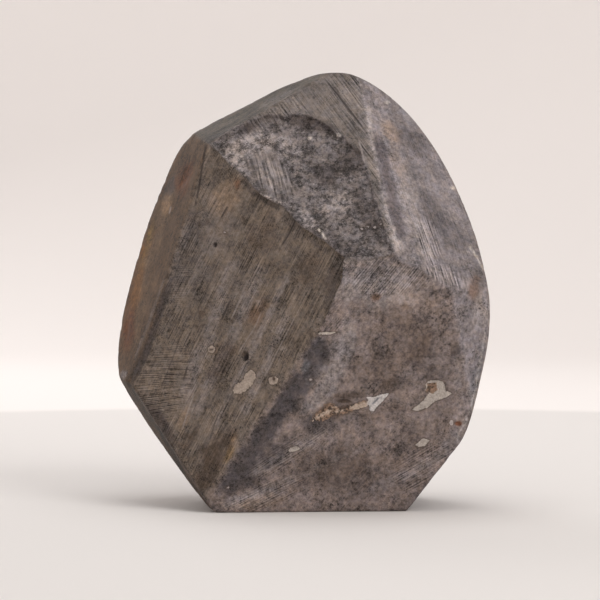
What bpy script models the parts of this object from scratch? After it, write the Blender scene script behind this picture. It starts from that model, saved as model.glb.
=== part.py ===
"""A standing freeform of black amethyst, as one solid stone.

The rough stone is an egg-shaped blank, widest across X and thinner along Y.
It was sawn flat on several sides and ground smooth between the cuts. One cut,
on the front left, went deeper than its neighbours and left a ledge. A bruised
patch above it is sunk a little into the upper cut. The rest is saw grooves,
a ground flute and a few pits.

Units are metres, +Z is up, -Y is the front. The origin is under the middle of
the stone's box, on the plane of its sawn base.
"""

import math

import bmesh
import bpy
from mathutils import Vector, geometry, noise

MM = 0.001

# Driving sizes of the blank
HEIGHT = 150.0 * MM
FRONT_REACH = 50.0 * MM
BACK_REACH = 36.45 * MM
FRONT_FULLNESS = 5.0
BACK_FULLNESS = 3.6
BLANK_FRONT = -42.0 * MM
WALL_SEGMENTS = 84
FRONT_RINGS = 6
BACK_RINGS = 11
CENTRE = Vector((0.0, 0.0, HEIGHT / 2))
WELD = 1e-7

# Outline of the blank seen from the front, clockwise from the top, in mm
OUTLINE = [
    (10.9, 150.4), (24.0, 146.5), (37.7, 135.4), (49.3, 118.6), (58.4, 97.0),
    (63.3, 76.0), (63.95, 62.0), (61.3, 46.0), (55.5, 25.6), (44.4, 9.6),
    (32.0, -4.5), (0.0, -11.0), (-25.0, -4.0), (-44.6, 16.6), (-60.0, 37.4),
    (-64.0, 47.8), (-64.0, 62.5), (-61.1, 79.3), (-56.8, 96.3), (-49.5, 113.2),
    (-40.4, 127.0), (-20.4, 138.5), (-4.0, 146.8),
]
OUTLINE_STEPS = 16

# Saw cuts: compass angle of the face (0 is the front, + turns to the right),
# tilt above level, and distance of the face from the stone's centre in mm
CUTS = {
    "lower_front": (3.7, -7.0, 35.7),
    "right_flank": (31.0, -1.5, 54.0),
    "upper_front": (-5.5, 31.6, 34.1),
    "upper_right": (32.7, 32.4, 46.2),
    "left_side": (-63.1, 16.9, 44.5),
    "upper_left": (-45.0, 56.3, 56.4),
    "lower_left": (-72.7, -27.7, 67.4),
    "lower_right": (97.0, -37.5, 71.4),
    "far_face": (174.0, 5.0, 34.6),
    "far_upper": (158.0, 40.0, 58.0),
    "far_left": (-138.0, 8.0, 55.5),
    "far_lower": (-168.0, -33.0, 55.0),
    "far_right": (128.0, -7.0, 56.5),
}

# The deep cut on the front left and the ledge that bounds it, (x, z) in mm
DEEP_CUT = (-22.2, 10.3, 26.2)
DEEP_CUT_REACH = 40.0 * MM
LEDGE = [
    (-34.5, 127.4), (-30.5, 123.3), (-25.6, 119.4), (-20.4, 114.5), (-16.6, 109.7),
    (-13.8, 106.9), (-9.8, 104.8), (-6.0, 102.8), (-3.0, 99.1), (0.0, 96.0),
    (4.1, 93.7), (8.0, 91.0), (11.4, 88.0), (14.3, 86.0), (13.6, 82.0),
    (13.0, 77.4), (11.3, 74.1), (10.0, 70.4), (8.3, 66.7), (7.0, 62.7), (5.4, 59.4),
]
DEEP_CUT_OUTSIDE = [
    (5.4, 52.0), (-25.0, -14.0), (-80.0, -14.0), (-80.0, 140.0), (-44.0, 140.0),
]

# The bruised patch, sunk into the upper cut behind a scalloped lip, in mm
PATCH_LIP = [
    (-30.6, 125.0), (-27.2, 127.8), (-22.7, 131.0), (-17.6, 133.1), (-10.7, 135.6),
    (-5.5, 134.6), (-0.3, 135.6), (4.2, 134.2), (8.3, 131.9), (11.7, 128.6),
    (15.1, 127.2), (18.5, 123.4), (20.9, 121.8), (22.8, 115.8), (24.4, 109.9),
    (26.9, 100.7), (29.4, 92.0), (31.3, 88.0), (29.3, 86.5), (26.6, 85.9),
    (22.9, 84.6), (19.9, 84.9), (17.0, 85.4), (14.3, 85.5), (11.1, 87.6),
    (7.7, 90.5), (3.8, 93.2), (-0.4, 95.5), (-3.4, 98.7), (-6.3, 102.3),
    (-10.1, 104.3), (-14.2, 106.5), (-17.0, 109.4), (-20.8, 114.1), (-25.9, 118.9),
]
PATCH_DEPTH = 0.85 * MM
PATCH_ROUGHNESS = 0.38 * MM
PATCH_GRAIN = 2.6 * MM
PATCH_CELL = 1.7 * MM
PATCH_MARGIN = 0.6 * PATCH_CELL
PATCH_LIFT = 8.0 * MM

# Saw grooves: a fan of shallow V cuts across a face. Their steepness is seen from the
# front, in degrees above level. The drift is a share of the spacing, and the paces say
# how fast drift and depth change from groove to groove.
GROOVE_WIDTH = 1.3 * MM
GROOVE_RISE = 0.1 * MM
GROOVE_DRIFT = 0.35
DRIFT_PACE = 0.73
DEPTH_PACE = 2.4
TOP_GROOVES = 21
TOP_GROOVE_SPACING = 2.15 * MM
TOP_GROOVE_STEEPNESS = -54.0
TOP_GROOVE_DEPTHS = (0.20 * MM, 0.40 * MM)
TOP_GROOVE_MIDDLE = (6.0, 128.0)
TOP_GROOVE_LENGTH = 84.0 * MM
SIDE_GROOVES = 9
SIDE_GROOVE_SPACING = 5.6 * MM
SIDE_GROOVE_STEEPNESS = 63.0
SIDE_GROOVE_DEPTHS = (0.12 * MM, 0.26 * MM)
SIDE_GROOVE_MIDDLE = (-27.0, 66.0)
SIDE_GROOVE_LENGTH = 78.0 * MM

# The ground flute beside the left edge of the upper right face, (x, z) in mm
FLUTE_TOP = (27.2, 129.8)
FLUTE_FOOT = (34.0, 87.3)
FLUTE_RADIUS = 11.0 * MM
FLUTE_DEPTH = 0.75 * MM
FLUTE_OVERRUN = 10.0 * MM
FLUTE_SIDES = 72

# Pits: (x, z) in mm, half sizes along x and z, depth, and the cut they are in
PITS = [
    ("deep", -18.8, 52.6, 0.75, 1.1, 1.5),
    ("deep", -29.3, 90.0, 0.6, 0.65, 0.8),
    ("lower_front", 13.9, 37.5, 2.9, 0.9, 0.7),
    ("lower_front", 44.1, 42.1, 1.2, 1.6, 0.6),
    ("lower_front", 52.8, 29.8, 1.1, 0.7, 0.6),
    ("lower_front", 8.9, 60.4, 2.6, 0.6, 0.5),
]
PIT_SEGMENTS = 12
PIT_RINGS = 8

STONE_COLOUR = (0.155, 0.128, 0.110, 1.0)
STONE_ROUGHNESS = 0.62


def direction(compass, tilt):
    """Unit normal of a face from its compass angle and tilt in degrees."""
    turn = math.radians(compass)
    rise = math.radians(tilt)
    return Vector((
        math.sin(turn) * math.cos(rise),
        -math.cos(turn) * math.cos(rise),
        math.sin(rise),
    ))


def face_plane(cut):
    """A point on a cut's plane and the plane's outward normal."""
    compass, tilt, distance = cut
    normal = direction(compass, tilt)
    return CENTRE + normal * distance * MM, normal


def depth_on(cut, x, z):
    """The y at which a cut's plane stands over (x, z)."""
    point, normal = face_plane(cut)
    return point.y - (normal.x * (x - point.x) + normal.z * (z - point.z)) / normal.y


def on_front(x_mm, z_mm, faces=("lower_front", "upper_front")):
    """The point of the front faces over (x, z), given in mm."""
    x = x_mm * MM
    z = z_mm * MM
    return Vector((x, max(depth_on(CUTS[name], x, z) for name in faces), z))


def smooth_outline(knots, count):
    """A closed curve through the knots, read at evenly spread points."""
    points = [Vector(knot) * MM for knot in knots]
    total = len(points)
    dense = []
    for index in range(total):
        before, start, end, after = (points[(index + k - 1) % total] for k in range(4))
        for step in range(OUTLINE_STEPS):
            t = step / OUTLINE_STEPS
            dense.append(0.5 * (
                2 * start
                + (end - before) * t
                + (2 * before - 5 * start + 4 * end - after) * t ** 2
                + (3 * start - before - 3 * end + after) * t ** 3
            ))
    lengths = [0.0]
    for here, there in zip(dense, dense[1:] + dense[:1]):
        lengths.append(lengths[-1] + (there - here).length)
    result = []
    segment = 0
    for index in range(count):
        target = lengths[-1] * index / count
        while lengths[segment + 1] < target:
            segment += 1
        share = (target - lengths[segment]) / (lengths[segment + 1] - lengths[segment])
        result.append(dense[segment].lerp(dense[(segment + 1) % len(dense)], share))
    return result


def wall_rings():
    """Depth and size of each ring of the blank's wall, from front to back."""
    rings = []
    for index in range(FRONT_RINGS):
        y = BLANK_FRONT * (1 - index / FRONT_RINGS)
        size = (1 - (-y / FRONT_REACH) ** FRONT_FULLNESS) ** (1 / FRONT_FULLNESS)
        rings.append((y, size))
    for index in range(BACK_RINGS):
        swing = 0.5 * math.pi * index / BACK_RINGS
        y = BACK_REACH * math.sin(swing) ** (2 / BACK_FULLNESS)
        size = math.cos(swing) ** (2 / BACK_FULLNESS)
        rings.append((y, size))
    return rings


def make_blank(bm):
    """The uncut egg-shaped stone: rings of the outline, bridged and capped."""
    outline = smooth_outline(OUTLINE, WALL_SEGMENTS)
    middle = Vector((CENTRE.x, CENTRE.z))
    loops = []
    for y, size in wall_rings():
        loop = []
        for knot in outline:
            at = middle + (knot - middle) * size
            loop.append(bm.verts.new((at.x, y, at.y)))
        loops.append(loop)
    for front, back in zip(loops, loops[1:]):
        for index in range(WALL_SEGMENTS):
            after = (index + 1) % WALL_SEGMENTS
            bm.faces.new((front[index], front[after], back[after], back[index]))
    bm.faces.new(loops[0])
    bm.faces.new(loops[-1])
    bmesh.ops.recalc_face_normals(bm, faces=bm.faces)


def saw(bm, point, normal):
    """Cut away what is outside a plane and close the stone with a flat face."""
    everything = bm.verts[:] + bm.edges[:] + bm.faces[:]
    cut = bmesh.ops.bisect_plane(
        bm, geom=everything, dist=WELD, plane_co=point, plane_no=normal, clear_outer=True,
    )
    rim = [item for item in cut["geom_cut"] if isinstance(item, bmesh.types.BMEdge)]
    if rim:
        bmesh.ops.edgeloop_fill(bm, edges=rim)
        bmesh.ops.recalc_face_normals(bm, faces=bm.faces)


def finish_mesh(name, bm):
    """Turn a bmesh into an object in the scene."""
    mesh = bpy.data.meshes.new(name)
    bm.to_mesh(mesh)
    bm.free()
    thing = bpy.data.objects.new(name, mesh)
    bpy.context.scene.collection.objects.link(thing)
    return thing


def as_cutter(thing):
    """Mark an object as a tool that only shapes the stone."""
    thing.hide_render = True
    thing.display_type = 'WIRE'
    return thing


def prism(bm, floor, push):
    """A closed prism from a ring of points, pushed along a vector."""
    low = [bm.verts.new(point) for point in floor]
    base = bm.faces.new(low)
    grown = bmesh.ops.extrude_face_region(bm, geom=[base])
    top = [item for item in grown["geom"] if isinstance(item, bmesh.types.BMVert)]
    bmesh.ops.translate(bm, verts=top, vec=push)
    bmesh.ops.recalc_face_normals(bm, faces=bm.faces)


def deep_cut_tool():
    """The block that the deep saw cut took out, with its ragged ledge."""
    point, normal = face_plane(DEEP_CUT)
    ring = []
    for x_mm, z_mm in LEDGE + DEEP_CUT_OUTSIDE:
        surface = on_front(x_mm, z_mm)
        ring.append(surface - normal * (surface - point).dot(normal))
    bm = bmesh.new()
    prism(bm, ring, normal * DEEP_CUT_REACH)
    return as_cutter(finish_mesh("deep_cut_tool", bm))


def inside_ring(point, ring):
    """Whether a point lies inside a closed ring of points."""
    inside = False
    for here, there in zip(ring, ring[1:] + ring[:1]):
        if (here.y > point.y) != (there.y > point.y):
            crossing = here.x + (point.y - here.y) * (there.x - here.x) / (there.y - here.y)
            if point.x < crossing:
                inside = not inside
    return inside


def patch_tool():
    """The sunk patch: a bumpy floor under its lip, and the air above it."""
    point, normal = face_plane(CUTS["upper_front"])
    lip = [Vector(knot) * MM for knot in PATCH_LIP]
    flat = list(lip)
    low = Vector((min(knot.x for knot in lip), min(knot.y for knot in lip)))
    high = Vector((max(knot.x for knot in lip), max(knot.y for knot in lip)))
    rows = int((high.y - low.y) / PATCH_CELL)
    columns = int((high.x - low.x) / PATCH_CELL)
    for row in range(rows):
        for column in range(columns):
            shift = 0.5 * (row % 2)
            spot = low + Vector((column + shift, row + 0.5)) * PATCH_CELL
            clear = min((spot - knot).length for knot in lip) > PATCH_MARGIN
            if clear and inside_ring(spot, lip):
                flat.append(spot)
    outline = list(range(len(lip)))
    spots, _, faces, _, _, _ = geometry.delaunay_2d_cdt(flat, [], [outline], 1, WELD)

    bm = bmesh.new()
    floor = []
    for spot in spots:
        surface = Vector((spot.x, depth_on(CUTS["upper_front"], spot.x, spot.y), spot.y))
        bump = noise.noise(surface / PATCH_GRAIN) * PATCH_ROUGHNESS
        floor.append(bm.verts.new(surface - normal * (PATCH_DEPTH - bump)))
    for corners in faces:
        bm.faces.new([floor[corner] for corner in corners])
    lift = bmesh.ops.extrude_face_region(bm, geom=bm.faces[:])
    top = [item for item in lift["geom"] if isinstance(item, bmesh.types.BMVert)]
    for vert in top:
        height = (vert.co - point).dot(normal)
        vert.co += normal * (PATCH_LIFT - height)
    bmesh.ops.recalc_face_normals(bm, faces=bm.faces)
    return as_cutter(finish_mesh("patch_tool", bm))


def groove_fan(bm, cut, middle, count, spacing, steepness, depths, length):
    """Parallel V grooves in a face, each a little deeper or shallower."""
    point, normal = face_plane(cut)
    slope = math.radians(steepness)
    along = Vector((math.cos(slope), 0.0, math.sin(slope)))
    along.y = -along.dot(normal) / normal.y
    along.normalize()
    across = normal.cross(along)
    x = middle[0] * MM
    z = middle[1] * MM
    centre = Vector((x, depth_on(cut, x, z), z))
    shallow, deep = depths
    for index in range(count):
        drift = noise.noise(Vector((index * DRIFT_PACE, steepness, 0.5)))
        depth = shallow + (deep - shallow) * (0.5 + 0.5 * math.sin(index * DEPTH_PACE))
        offset = (index - (count - 1) / 2 + GROOVE_DRIFT * drift) * spacing
        start = centre + across * offset - along * length / 2
        half = 0.5 * GROOVE_WIDTH * (1 + GROOVE_RISE / depth)
        ring = [
            start - normal * depth,
            start + across * half + normal * GROOVE_RISE,
            start - across * half + normal * GROOVE_RISE,
        ]
        prism(bm, ring, along * length)


def groove_tool():
    """All the saw grooves of the upper face and the deep cut."""
    bm = bmesh.new()
    groove_fan(
        bm, CUTS["upper_front"], TOP_GROOVE_MIDDLE, TOP_GROOVES, TOP_GROOVE_SPACING,
        TOP_GROOVE_STEEPNESS, TOP_GROOVE_DEPTHS, TOP_GROOVE_LENGTH,
    )
    groove_fan(
        bm, DEEP_CUT, SIDE_GROOVE_MIDDLE, SIDE_GROOVES, SIDE_GROOVE_SPACING,
        SIDE_GROOVE_STEEPNESS, SIDE_GROOVE_DEPTHS, SIDE_GROOVE_LENGTH,
    )
    return as_cutter(finish_mesh("groove_tool", bm))


def flute_tool():
    """The grinding wheel's track down the upper right face, deepest at its foot."""
    _, normal = face_plane(CUTS["upper_right"])
    top = on_front(*FLUTE_TOP, faces=("upper_right",)) + normal * FLUTE_RADIUS
    foot = on_front(*FLUTE_FOOT, faces=("upper_right",))
    foot += normal * (FLUTE_RADIUS - FLUTE_DEPTH)
    along = (foot - top).normalized()
    length = (foot - top).length + 2 * FLUTE_OVERRUN
    middle = (top + foot) / 2
    bm = bmesh.new()
    bmesh.ops.create_cone(
        bm, cap_ends=True, segments=FLUTE_SIDES,
        radius1=FLUTE_RADIUS, radius2=FLUTE_RADIUS, depth=length,
    )
    turn = Vector((0.0, 0.0, 1.0)).rotation_difference(along)
    bmesh.ops.rotate(bm, verts=bm.verts, matrix=turn.to_matrix())
    bmesh.ops.translate(bm, verts=bm.verts, vec=middle)
    return as_cutter(finish_mesh("flute_tool", bm))


def pit_tool():
    """Small open pits, each an ellipsoid half sunk into its face."""
    bm = bmesh.new()
    for face, x_mm, z_mm, half_x, half_z, depth in PITS:
        cut = DEEP_CUT if face == "deep" else CUTS[face]
        x = x_mm * MM
        z = z_mm * MM
        centre = Vector((x, depth_on(cut, x, z), z))
        ball = bmesh.ops.create_uvsphere(
            bm, u_segments=PIT_SEGMENTS, v_segments=PIT_RINGS, radius=1.0,
        )
        for vert in ball["verts"]:
            vert.co = centre + Vector((
                vert.co.x * half_x * MM, vert.co.y * depth * MM, vert.co.z * half_z * MM,
            ))
    return as_cutter(finish_mesh("pit_tool", bm))


def stone_material():
    """Dull ground stone, dark grey-brown."""
    material = bpy.data.materials.new("dark_ground_stone")
    material.use_nodes = True
    shader = material.node_tree.nodes["Principled BSDF"]
    shader.inputs["Base Color"].default_value = STONE_COLOUR
    shader.inputs["Roughness"].default_value = STONE_ROUGHNESS
    shader.inputs["Metallic"].default_value = 0.0
    return material


def make_stone():
    """The stone: blank, plane cuts, then what was cut or broken into them."""
    bm = bmesh.new()
    make_blank(bm)
    saw(bm, Vector((0.0, 0.0, 0.0)), Vector((0.0, 0.0, -1.0)))
    saw(bm, Vector((0.0, 0.0, HEIGHT)), Vector((0.0, 0.0, 1.0)))
    for cut in CUTS.values():
        saw(bm, *face_plane(cut))
    stone = finish_mesh("amethyst_stone", bm)
    stone.data.materials.append(stone_material())
    for tool in (deep_cut_tool(), patch_tool(), flute_tool(), groove_tool(), pit_tool()):
        carve = stone.modifiers.new(tool.name, 'BOOLEAN')
        carve.operation = 'DIFFERENCE'
        carve.solver = 'EXACT'
        carve.object = tool
    return stone


def main():
    for thing in list(bpy.data.objects):
        bpy.data.objects.remove(thing, do_unlink=True)
    make_stone()


main()
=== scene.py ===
"""A standing freeform of black amethyst: its fine skin, its finish and a pale studio stage.

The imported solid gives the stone's shape. The skin is a finer closed mesh on the same
sawn and ground faces, with the marks that the saw, the wheel and the hammer left.
Places in the tables are in millimetres: x runs right and z up as seen from the front,
from the middle of the base. Angles are in degrees, and a steepness is measured in that
view, from level and rising to the right.
"""

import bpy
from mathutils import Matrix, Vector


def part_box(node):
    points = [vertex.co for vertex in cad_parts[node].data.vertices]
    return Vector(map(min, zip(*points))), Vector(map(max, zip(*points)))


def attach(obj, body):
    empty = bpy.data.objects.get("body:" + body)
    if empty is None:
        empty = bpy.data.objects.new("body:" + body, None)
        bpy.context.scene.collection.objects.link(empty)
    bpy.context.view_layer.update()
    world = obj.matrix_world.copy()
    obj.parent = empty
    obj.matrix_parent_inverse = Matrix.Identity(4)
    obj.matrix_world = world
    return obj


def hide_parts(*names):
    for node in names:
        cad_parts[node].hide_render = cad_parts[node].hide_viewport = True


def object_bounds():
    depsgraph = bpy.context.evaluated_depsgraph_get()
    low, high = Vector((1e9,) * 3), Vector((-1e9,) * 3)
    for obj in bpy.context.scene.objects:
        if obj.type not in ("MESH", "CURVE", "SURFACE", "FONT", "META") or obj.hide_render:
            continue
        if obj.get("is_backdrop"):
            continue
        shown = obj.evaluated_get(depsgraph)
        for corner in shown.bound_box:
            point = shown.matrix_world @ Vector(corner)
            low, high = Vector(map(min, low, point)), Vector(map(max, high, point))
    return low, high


bl_info = {
    "name": "Black amethyst freeform",
    "version": (1, 0, 0),
    "blender": (4, 5, 0),
    "location": "3D View > Sidebar > Stone",
    "description": "Builds the fine skin and finish of a sawn amethyst freeform, and its stage",
    "category": "Add Mesh",
}

import itertools
import math
from collections import namedtuple

import bmesh
import bpy
import numpy as np
from mathutils import Euler, Vector, noise

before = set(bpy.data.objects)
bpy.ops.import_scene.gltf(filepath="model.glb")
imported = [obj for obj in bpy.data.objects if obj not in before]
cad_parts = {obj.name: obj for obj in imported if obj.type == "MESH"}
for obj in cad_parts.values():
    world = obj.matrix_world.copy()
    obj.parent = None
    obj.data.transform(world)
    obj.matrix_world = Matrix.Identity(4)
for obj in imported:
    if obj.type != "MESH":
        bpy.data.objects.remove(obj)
STONE_LOW, STONE_HIGH = (np.array(corner) * 1000 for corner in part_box("amethyst_stone"))

# Metres in a millimetre, and the distance in metres at which two points are one
M = 0.001
WELD = 1e-6
HEIGHT = 150.0
CENTRE = np.array((0.0, 0.0, HEIGHT / 2))
# Height over a face of a point that the face has nothing to do with
FAR_AWAY = -99.0

# Outline of the uncut stone from the front, clockwise from the top
OUTLINE = [
    (10.9, 150.4), (24.0, 146.5), (37.7, 135.4), (49.3, 118.6), (58.4, 97.0),
    (63.3, 76.0), (63.95, 62.0), (61.3, 46.0), (55.5, 25.6), (44.4, 9.6),
    (32.0, -4.5), (0.0, -11.0), (-25.0, -4.0), (-44.6, 16.6), (-60.0, 37.4),
    (-64.0, 47.8), (-64.0, 62.5), (-61.1, 79.3), (-56.8, 96.3), (-49.5, 113.2),
    (-40.4, 127.0), (-20.4, 138.5), (-4.0, 146.8),
]
OUTLINE_STEPS = 16

# How far the uncut stone bulges from its middle, and how full the bulge is
FRONT_REACH, FRONT_FULLNESS = 50.0, 5.0
BACK_REACH, BACK_FULLNESS = 36.45, 3.6

# Sawn and ground faces: compass angle, tilt, distance from the centre
FACES = {
    "lower_front": (3.7, -7.0, 35.7),
    "right_flank": (31.0, -1.5, 54.0),
    "upper_front": (-5.5, 31.6, 34.1),
    "upper_right": (32.7, 32.4, 46.2),
    "left_side": (-63.1, 16.9, 44.5),
    "upper_left": (-45.0, 56.3, 56.4),
    "lower_left": (-72.7, -27.7, 67.4),
    "lower_right": (97.0, -37.5, 71.4),
    "far_face": (174.0, 5.0, 34.6),
    "far_upper": (158.0, 40.0, 58.0),
    "far_left": (-138.0, 8.0, 55.5),
    "far_lower": (-168.0, -33.0, 55.0),
    "far_right": (128.0, -7.0, 56.5),
    "deep_cut": (-22.2, 10.3, 26.2),
}

# Rim of the deep cut: the ragged ledge, then a way round outside the stone
LEDGE = [
    (-34.5, 127.4), (-30.5, 123.3), (-25.6, 119.4), (-20.4, 114.5), (-16.6, 109.7),
    (-13.8, 106.9), (-9.8, 104.8), (-6.0, 102.8), (-3.0, 99.1), (0.0, 96.0),
    (4.1, 93.7), (8.0, 91.0), (11.4, 88.0), (14.3, 86.0), (13.6, 82.0),
    (13.0, 77.4), (11.3, 74.1), (10.0, 70.4), (8.3, 66.7), (7.0, 62.7), (5.4, 59.4),
    (5.4, 52.0), (-25.0, -14.0), (-80.0, -14.0), (-80.0, 140.0), (-44.0, 140.0),
]

# Lip of the hammered patch, and how deep the patch lies
PATCH_LIP = [
    (-30.6, 125.0), (-27.2, 127.8), (-22.7, 131.0), (-17.6, 133.1), (-10.7, 135.6),
    (-5.5, 134.6), (-0.3, 135.6), (4.2, 134.2), (8.3, 131.9), (11.7, 128.6),
    (15.1, 127.2), (18.5, 123.4), (20.9, 121.8), (22.8, 115.8), (24.4, 109.9),
    (26.9, 100.7), (29.4, 92.0), (31.3, 88.0), (29.3, 86.5), (26.6, 85.9),
    (22.9, 84.6), (19.9, 84.9), (17.0, 85.4), (14.3, 85.5), (11.1, 87.6),
    (7.7, 90.5), (3.8, 93.2), (-0.4, 95.5), (-3.4, 98.7), (-6.3, 102.3),
    (-10.1, 104.3), (-14.2, 106.5), (-17.0, 109.4), (-20.8, 114.1), (-25.9, 118.9),
]
PATCH_DEPTH = 0.85

# How softly the lower front turns into the right flank
FLANK_SOFTNESS = 1.2

# The flute beside the left edge of the upper right face
FLUTE_TOP = (27.2, 129.8)
FLUTE_FOOT = (34.0, 87.3)
FLUTE_RADIUS = 11.0
FLUTE_DEPTH = 0.75

# Fans of saw grooves: face, middle, count, spacing, steepness, depths, width
GROOVE_FANS = [
    ("upper_front", (6.0, 128.0), 27, 1.65, -54.0, (0.22, 0.50), 1.1),
    ("deep_cut", (-27.0, 66.0), 9, 5.6, 63.0, (0.12, 0.26), 1.3),
]

# Open pits: face, x, z, half width, half height, depth
PITS = [
    ("deep_cut", -18.8, 52.6, 1.25, 1.75, 1.6),
    ("deep_cut", -29.3, 90.0, 0.8, 1.0, 0.9),
    ("lower_front", 13.9, 37.5, 2.9, 0.9, 0.7),
    ("lower_front", 44.1, 42.1, 1.2, 1.6, 0.6),
    ("lower_front", 52.8, 29.8, 1.1, 0.7, 0.6),
    ("lower_front", 8.9, 60.4, 2.6, 0.6, 0.5),
]

# How far faces blend into each other, and how far from an edge its wear reaches
FACE_BLEND = 0.3
EDGE_REACH = 0.6

# Faces that the mesh keeps coarser
FAR_ROWS = ("far_face", "far_upper", "far_left", "far_lower", "far_right", "base")

# Each face's colour, the steepness of its saw lines, and how strong its finish shows
Finish = namedtuple("Finish", "colour steepness lines mottling specks gloss")
FINISHES = {
    "lower_front": Finish("lilac", 50.0, 0.22, 1.15, 0.52, 0.15),
    "right_flank": Finish("flank", 50.0, 0.20, 0.9, 0.8, 0.20),
    "upper_front": Finish("sawn", -54.0, 0.95, 0.7, 0.5, 0.10),
    "upper_right": Finish("smooth", -72.0, 0.34, 0.85, 0.3, 0.30),
    "left_side": Finish("side", 72.0, 0.35, 0.9, 0.5, 0.15),
    "upper_left": Finish("sliver", 30.0, 0.80, 0.8, 0.5, 0.00),
    # This face's colour is its own brown, darkened further as painted shade because it faces down
    "lower_left": Finish("under_left", -59.0, 1.30, 1.7, 0.8, 0.10),
    "lower_right": Finish("quartz", 52.0, 0.40, 0.7, 0.5, 0.45),
    "deep_cut": Finish("deep", 63.0, 0.78, 0.85, 0.60, 0.20),
    "far_face": Finish("quartz", 34.0, 0.35, 0.8, 0.6, 0.50),
    "far_upper": Finish("far_ground", -28.0, 0.70, 0.8, 0.5, 0.20),
    "far_left": Finish("far_ground", 71.0, 0.60, 0.9, 0.6, 0.25),
    "far_lower": Finish("far_ground", 12.0, 0.70, 0.9, 0.6, 0.15),
    "far_right": Finish("far_ground", -66.0, 0.50, 0.9, 0.6, 0.25),
    "wall": Finish("wall", 0.0, 0.25, 1.0, 0.8, 0.25),
    "base": Finish("sawn", 20.0, 0.60, 0.8, 0.5, 0.05),
}
ROW_NAMES = [*FACES, "wall", "flute", "base", "top"]

# Broken and sunk places: face, x, z, half length, half width, steepness, depth, roughness
DENTS = [
    ("upper_front", 14.8, 86.6, 3.2, 1.4, 20, 0.50, 0.30),
    ("lower_front", 6.2, 60.5, 4.5, 1.3, 8, 0.45, 0.35),
    ("lower_front", 13.0, 34.6, 10.0, 1.5, 12, 0.45, 0.35),
    ("lower_front", 20.0, 36.2, 4.0, 1.6, 12, 0.25, 0.20),
    ("lower_front", 44.5, 40.5, 6.0, 4.6, 30, 0.20, 0.25),
    ("lower_front", 40.2, 23.2, 3.4, 1.8, 30, 0.25, 0.20),
    ("lower_front", 52.0, 54.5, 2.6, 1.6, 40, 0.15, 0.20),
    ("deep_cut", -19.0, 44.0, 4.6, 2.8, 45, 0.20, 0.20),
    ("deep_cut", -22.2, 110.4, 3.4, 1.6, 80, 0.25, 0.15),
    ("deep_cut", -48.8, 30.0, 8.5, 1.6, -55, 0.30, 0.12),
    ("upper_right", 59.0, 72.6, 5.0, 1.7, 80, 0.30, 0.20),
    ("left_side", -40.3, 112.9, 5.0, 1.4, 70, 0.30, 0.12),
    ("left_side", -60.9, 59.8, 4.5, 1.2, 84, 0.20, 0.10),
    ("far_face", 12.0, 92.0, 7.0, 3.4, 40, 0.30, 0.20),
    ("far_face", -24.0, 58.0, 5.0, 2.2, -30, 0.30, 0.20),
    ("far_face", 30.0, 40.0, 4.0, 2.6, 10, 0.25, 0.20),
]

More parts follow.
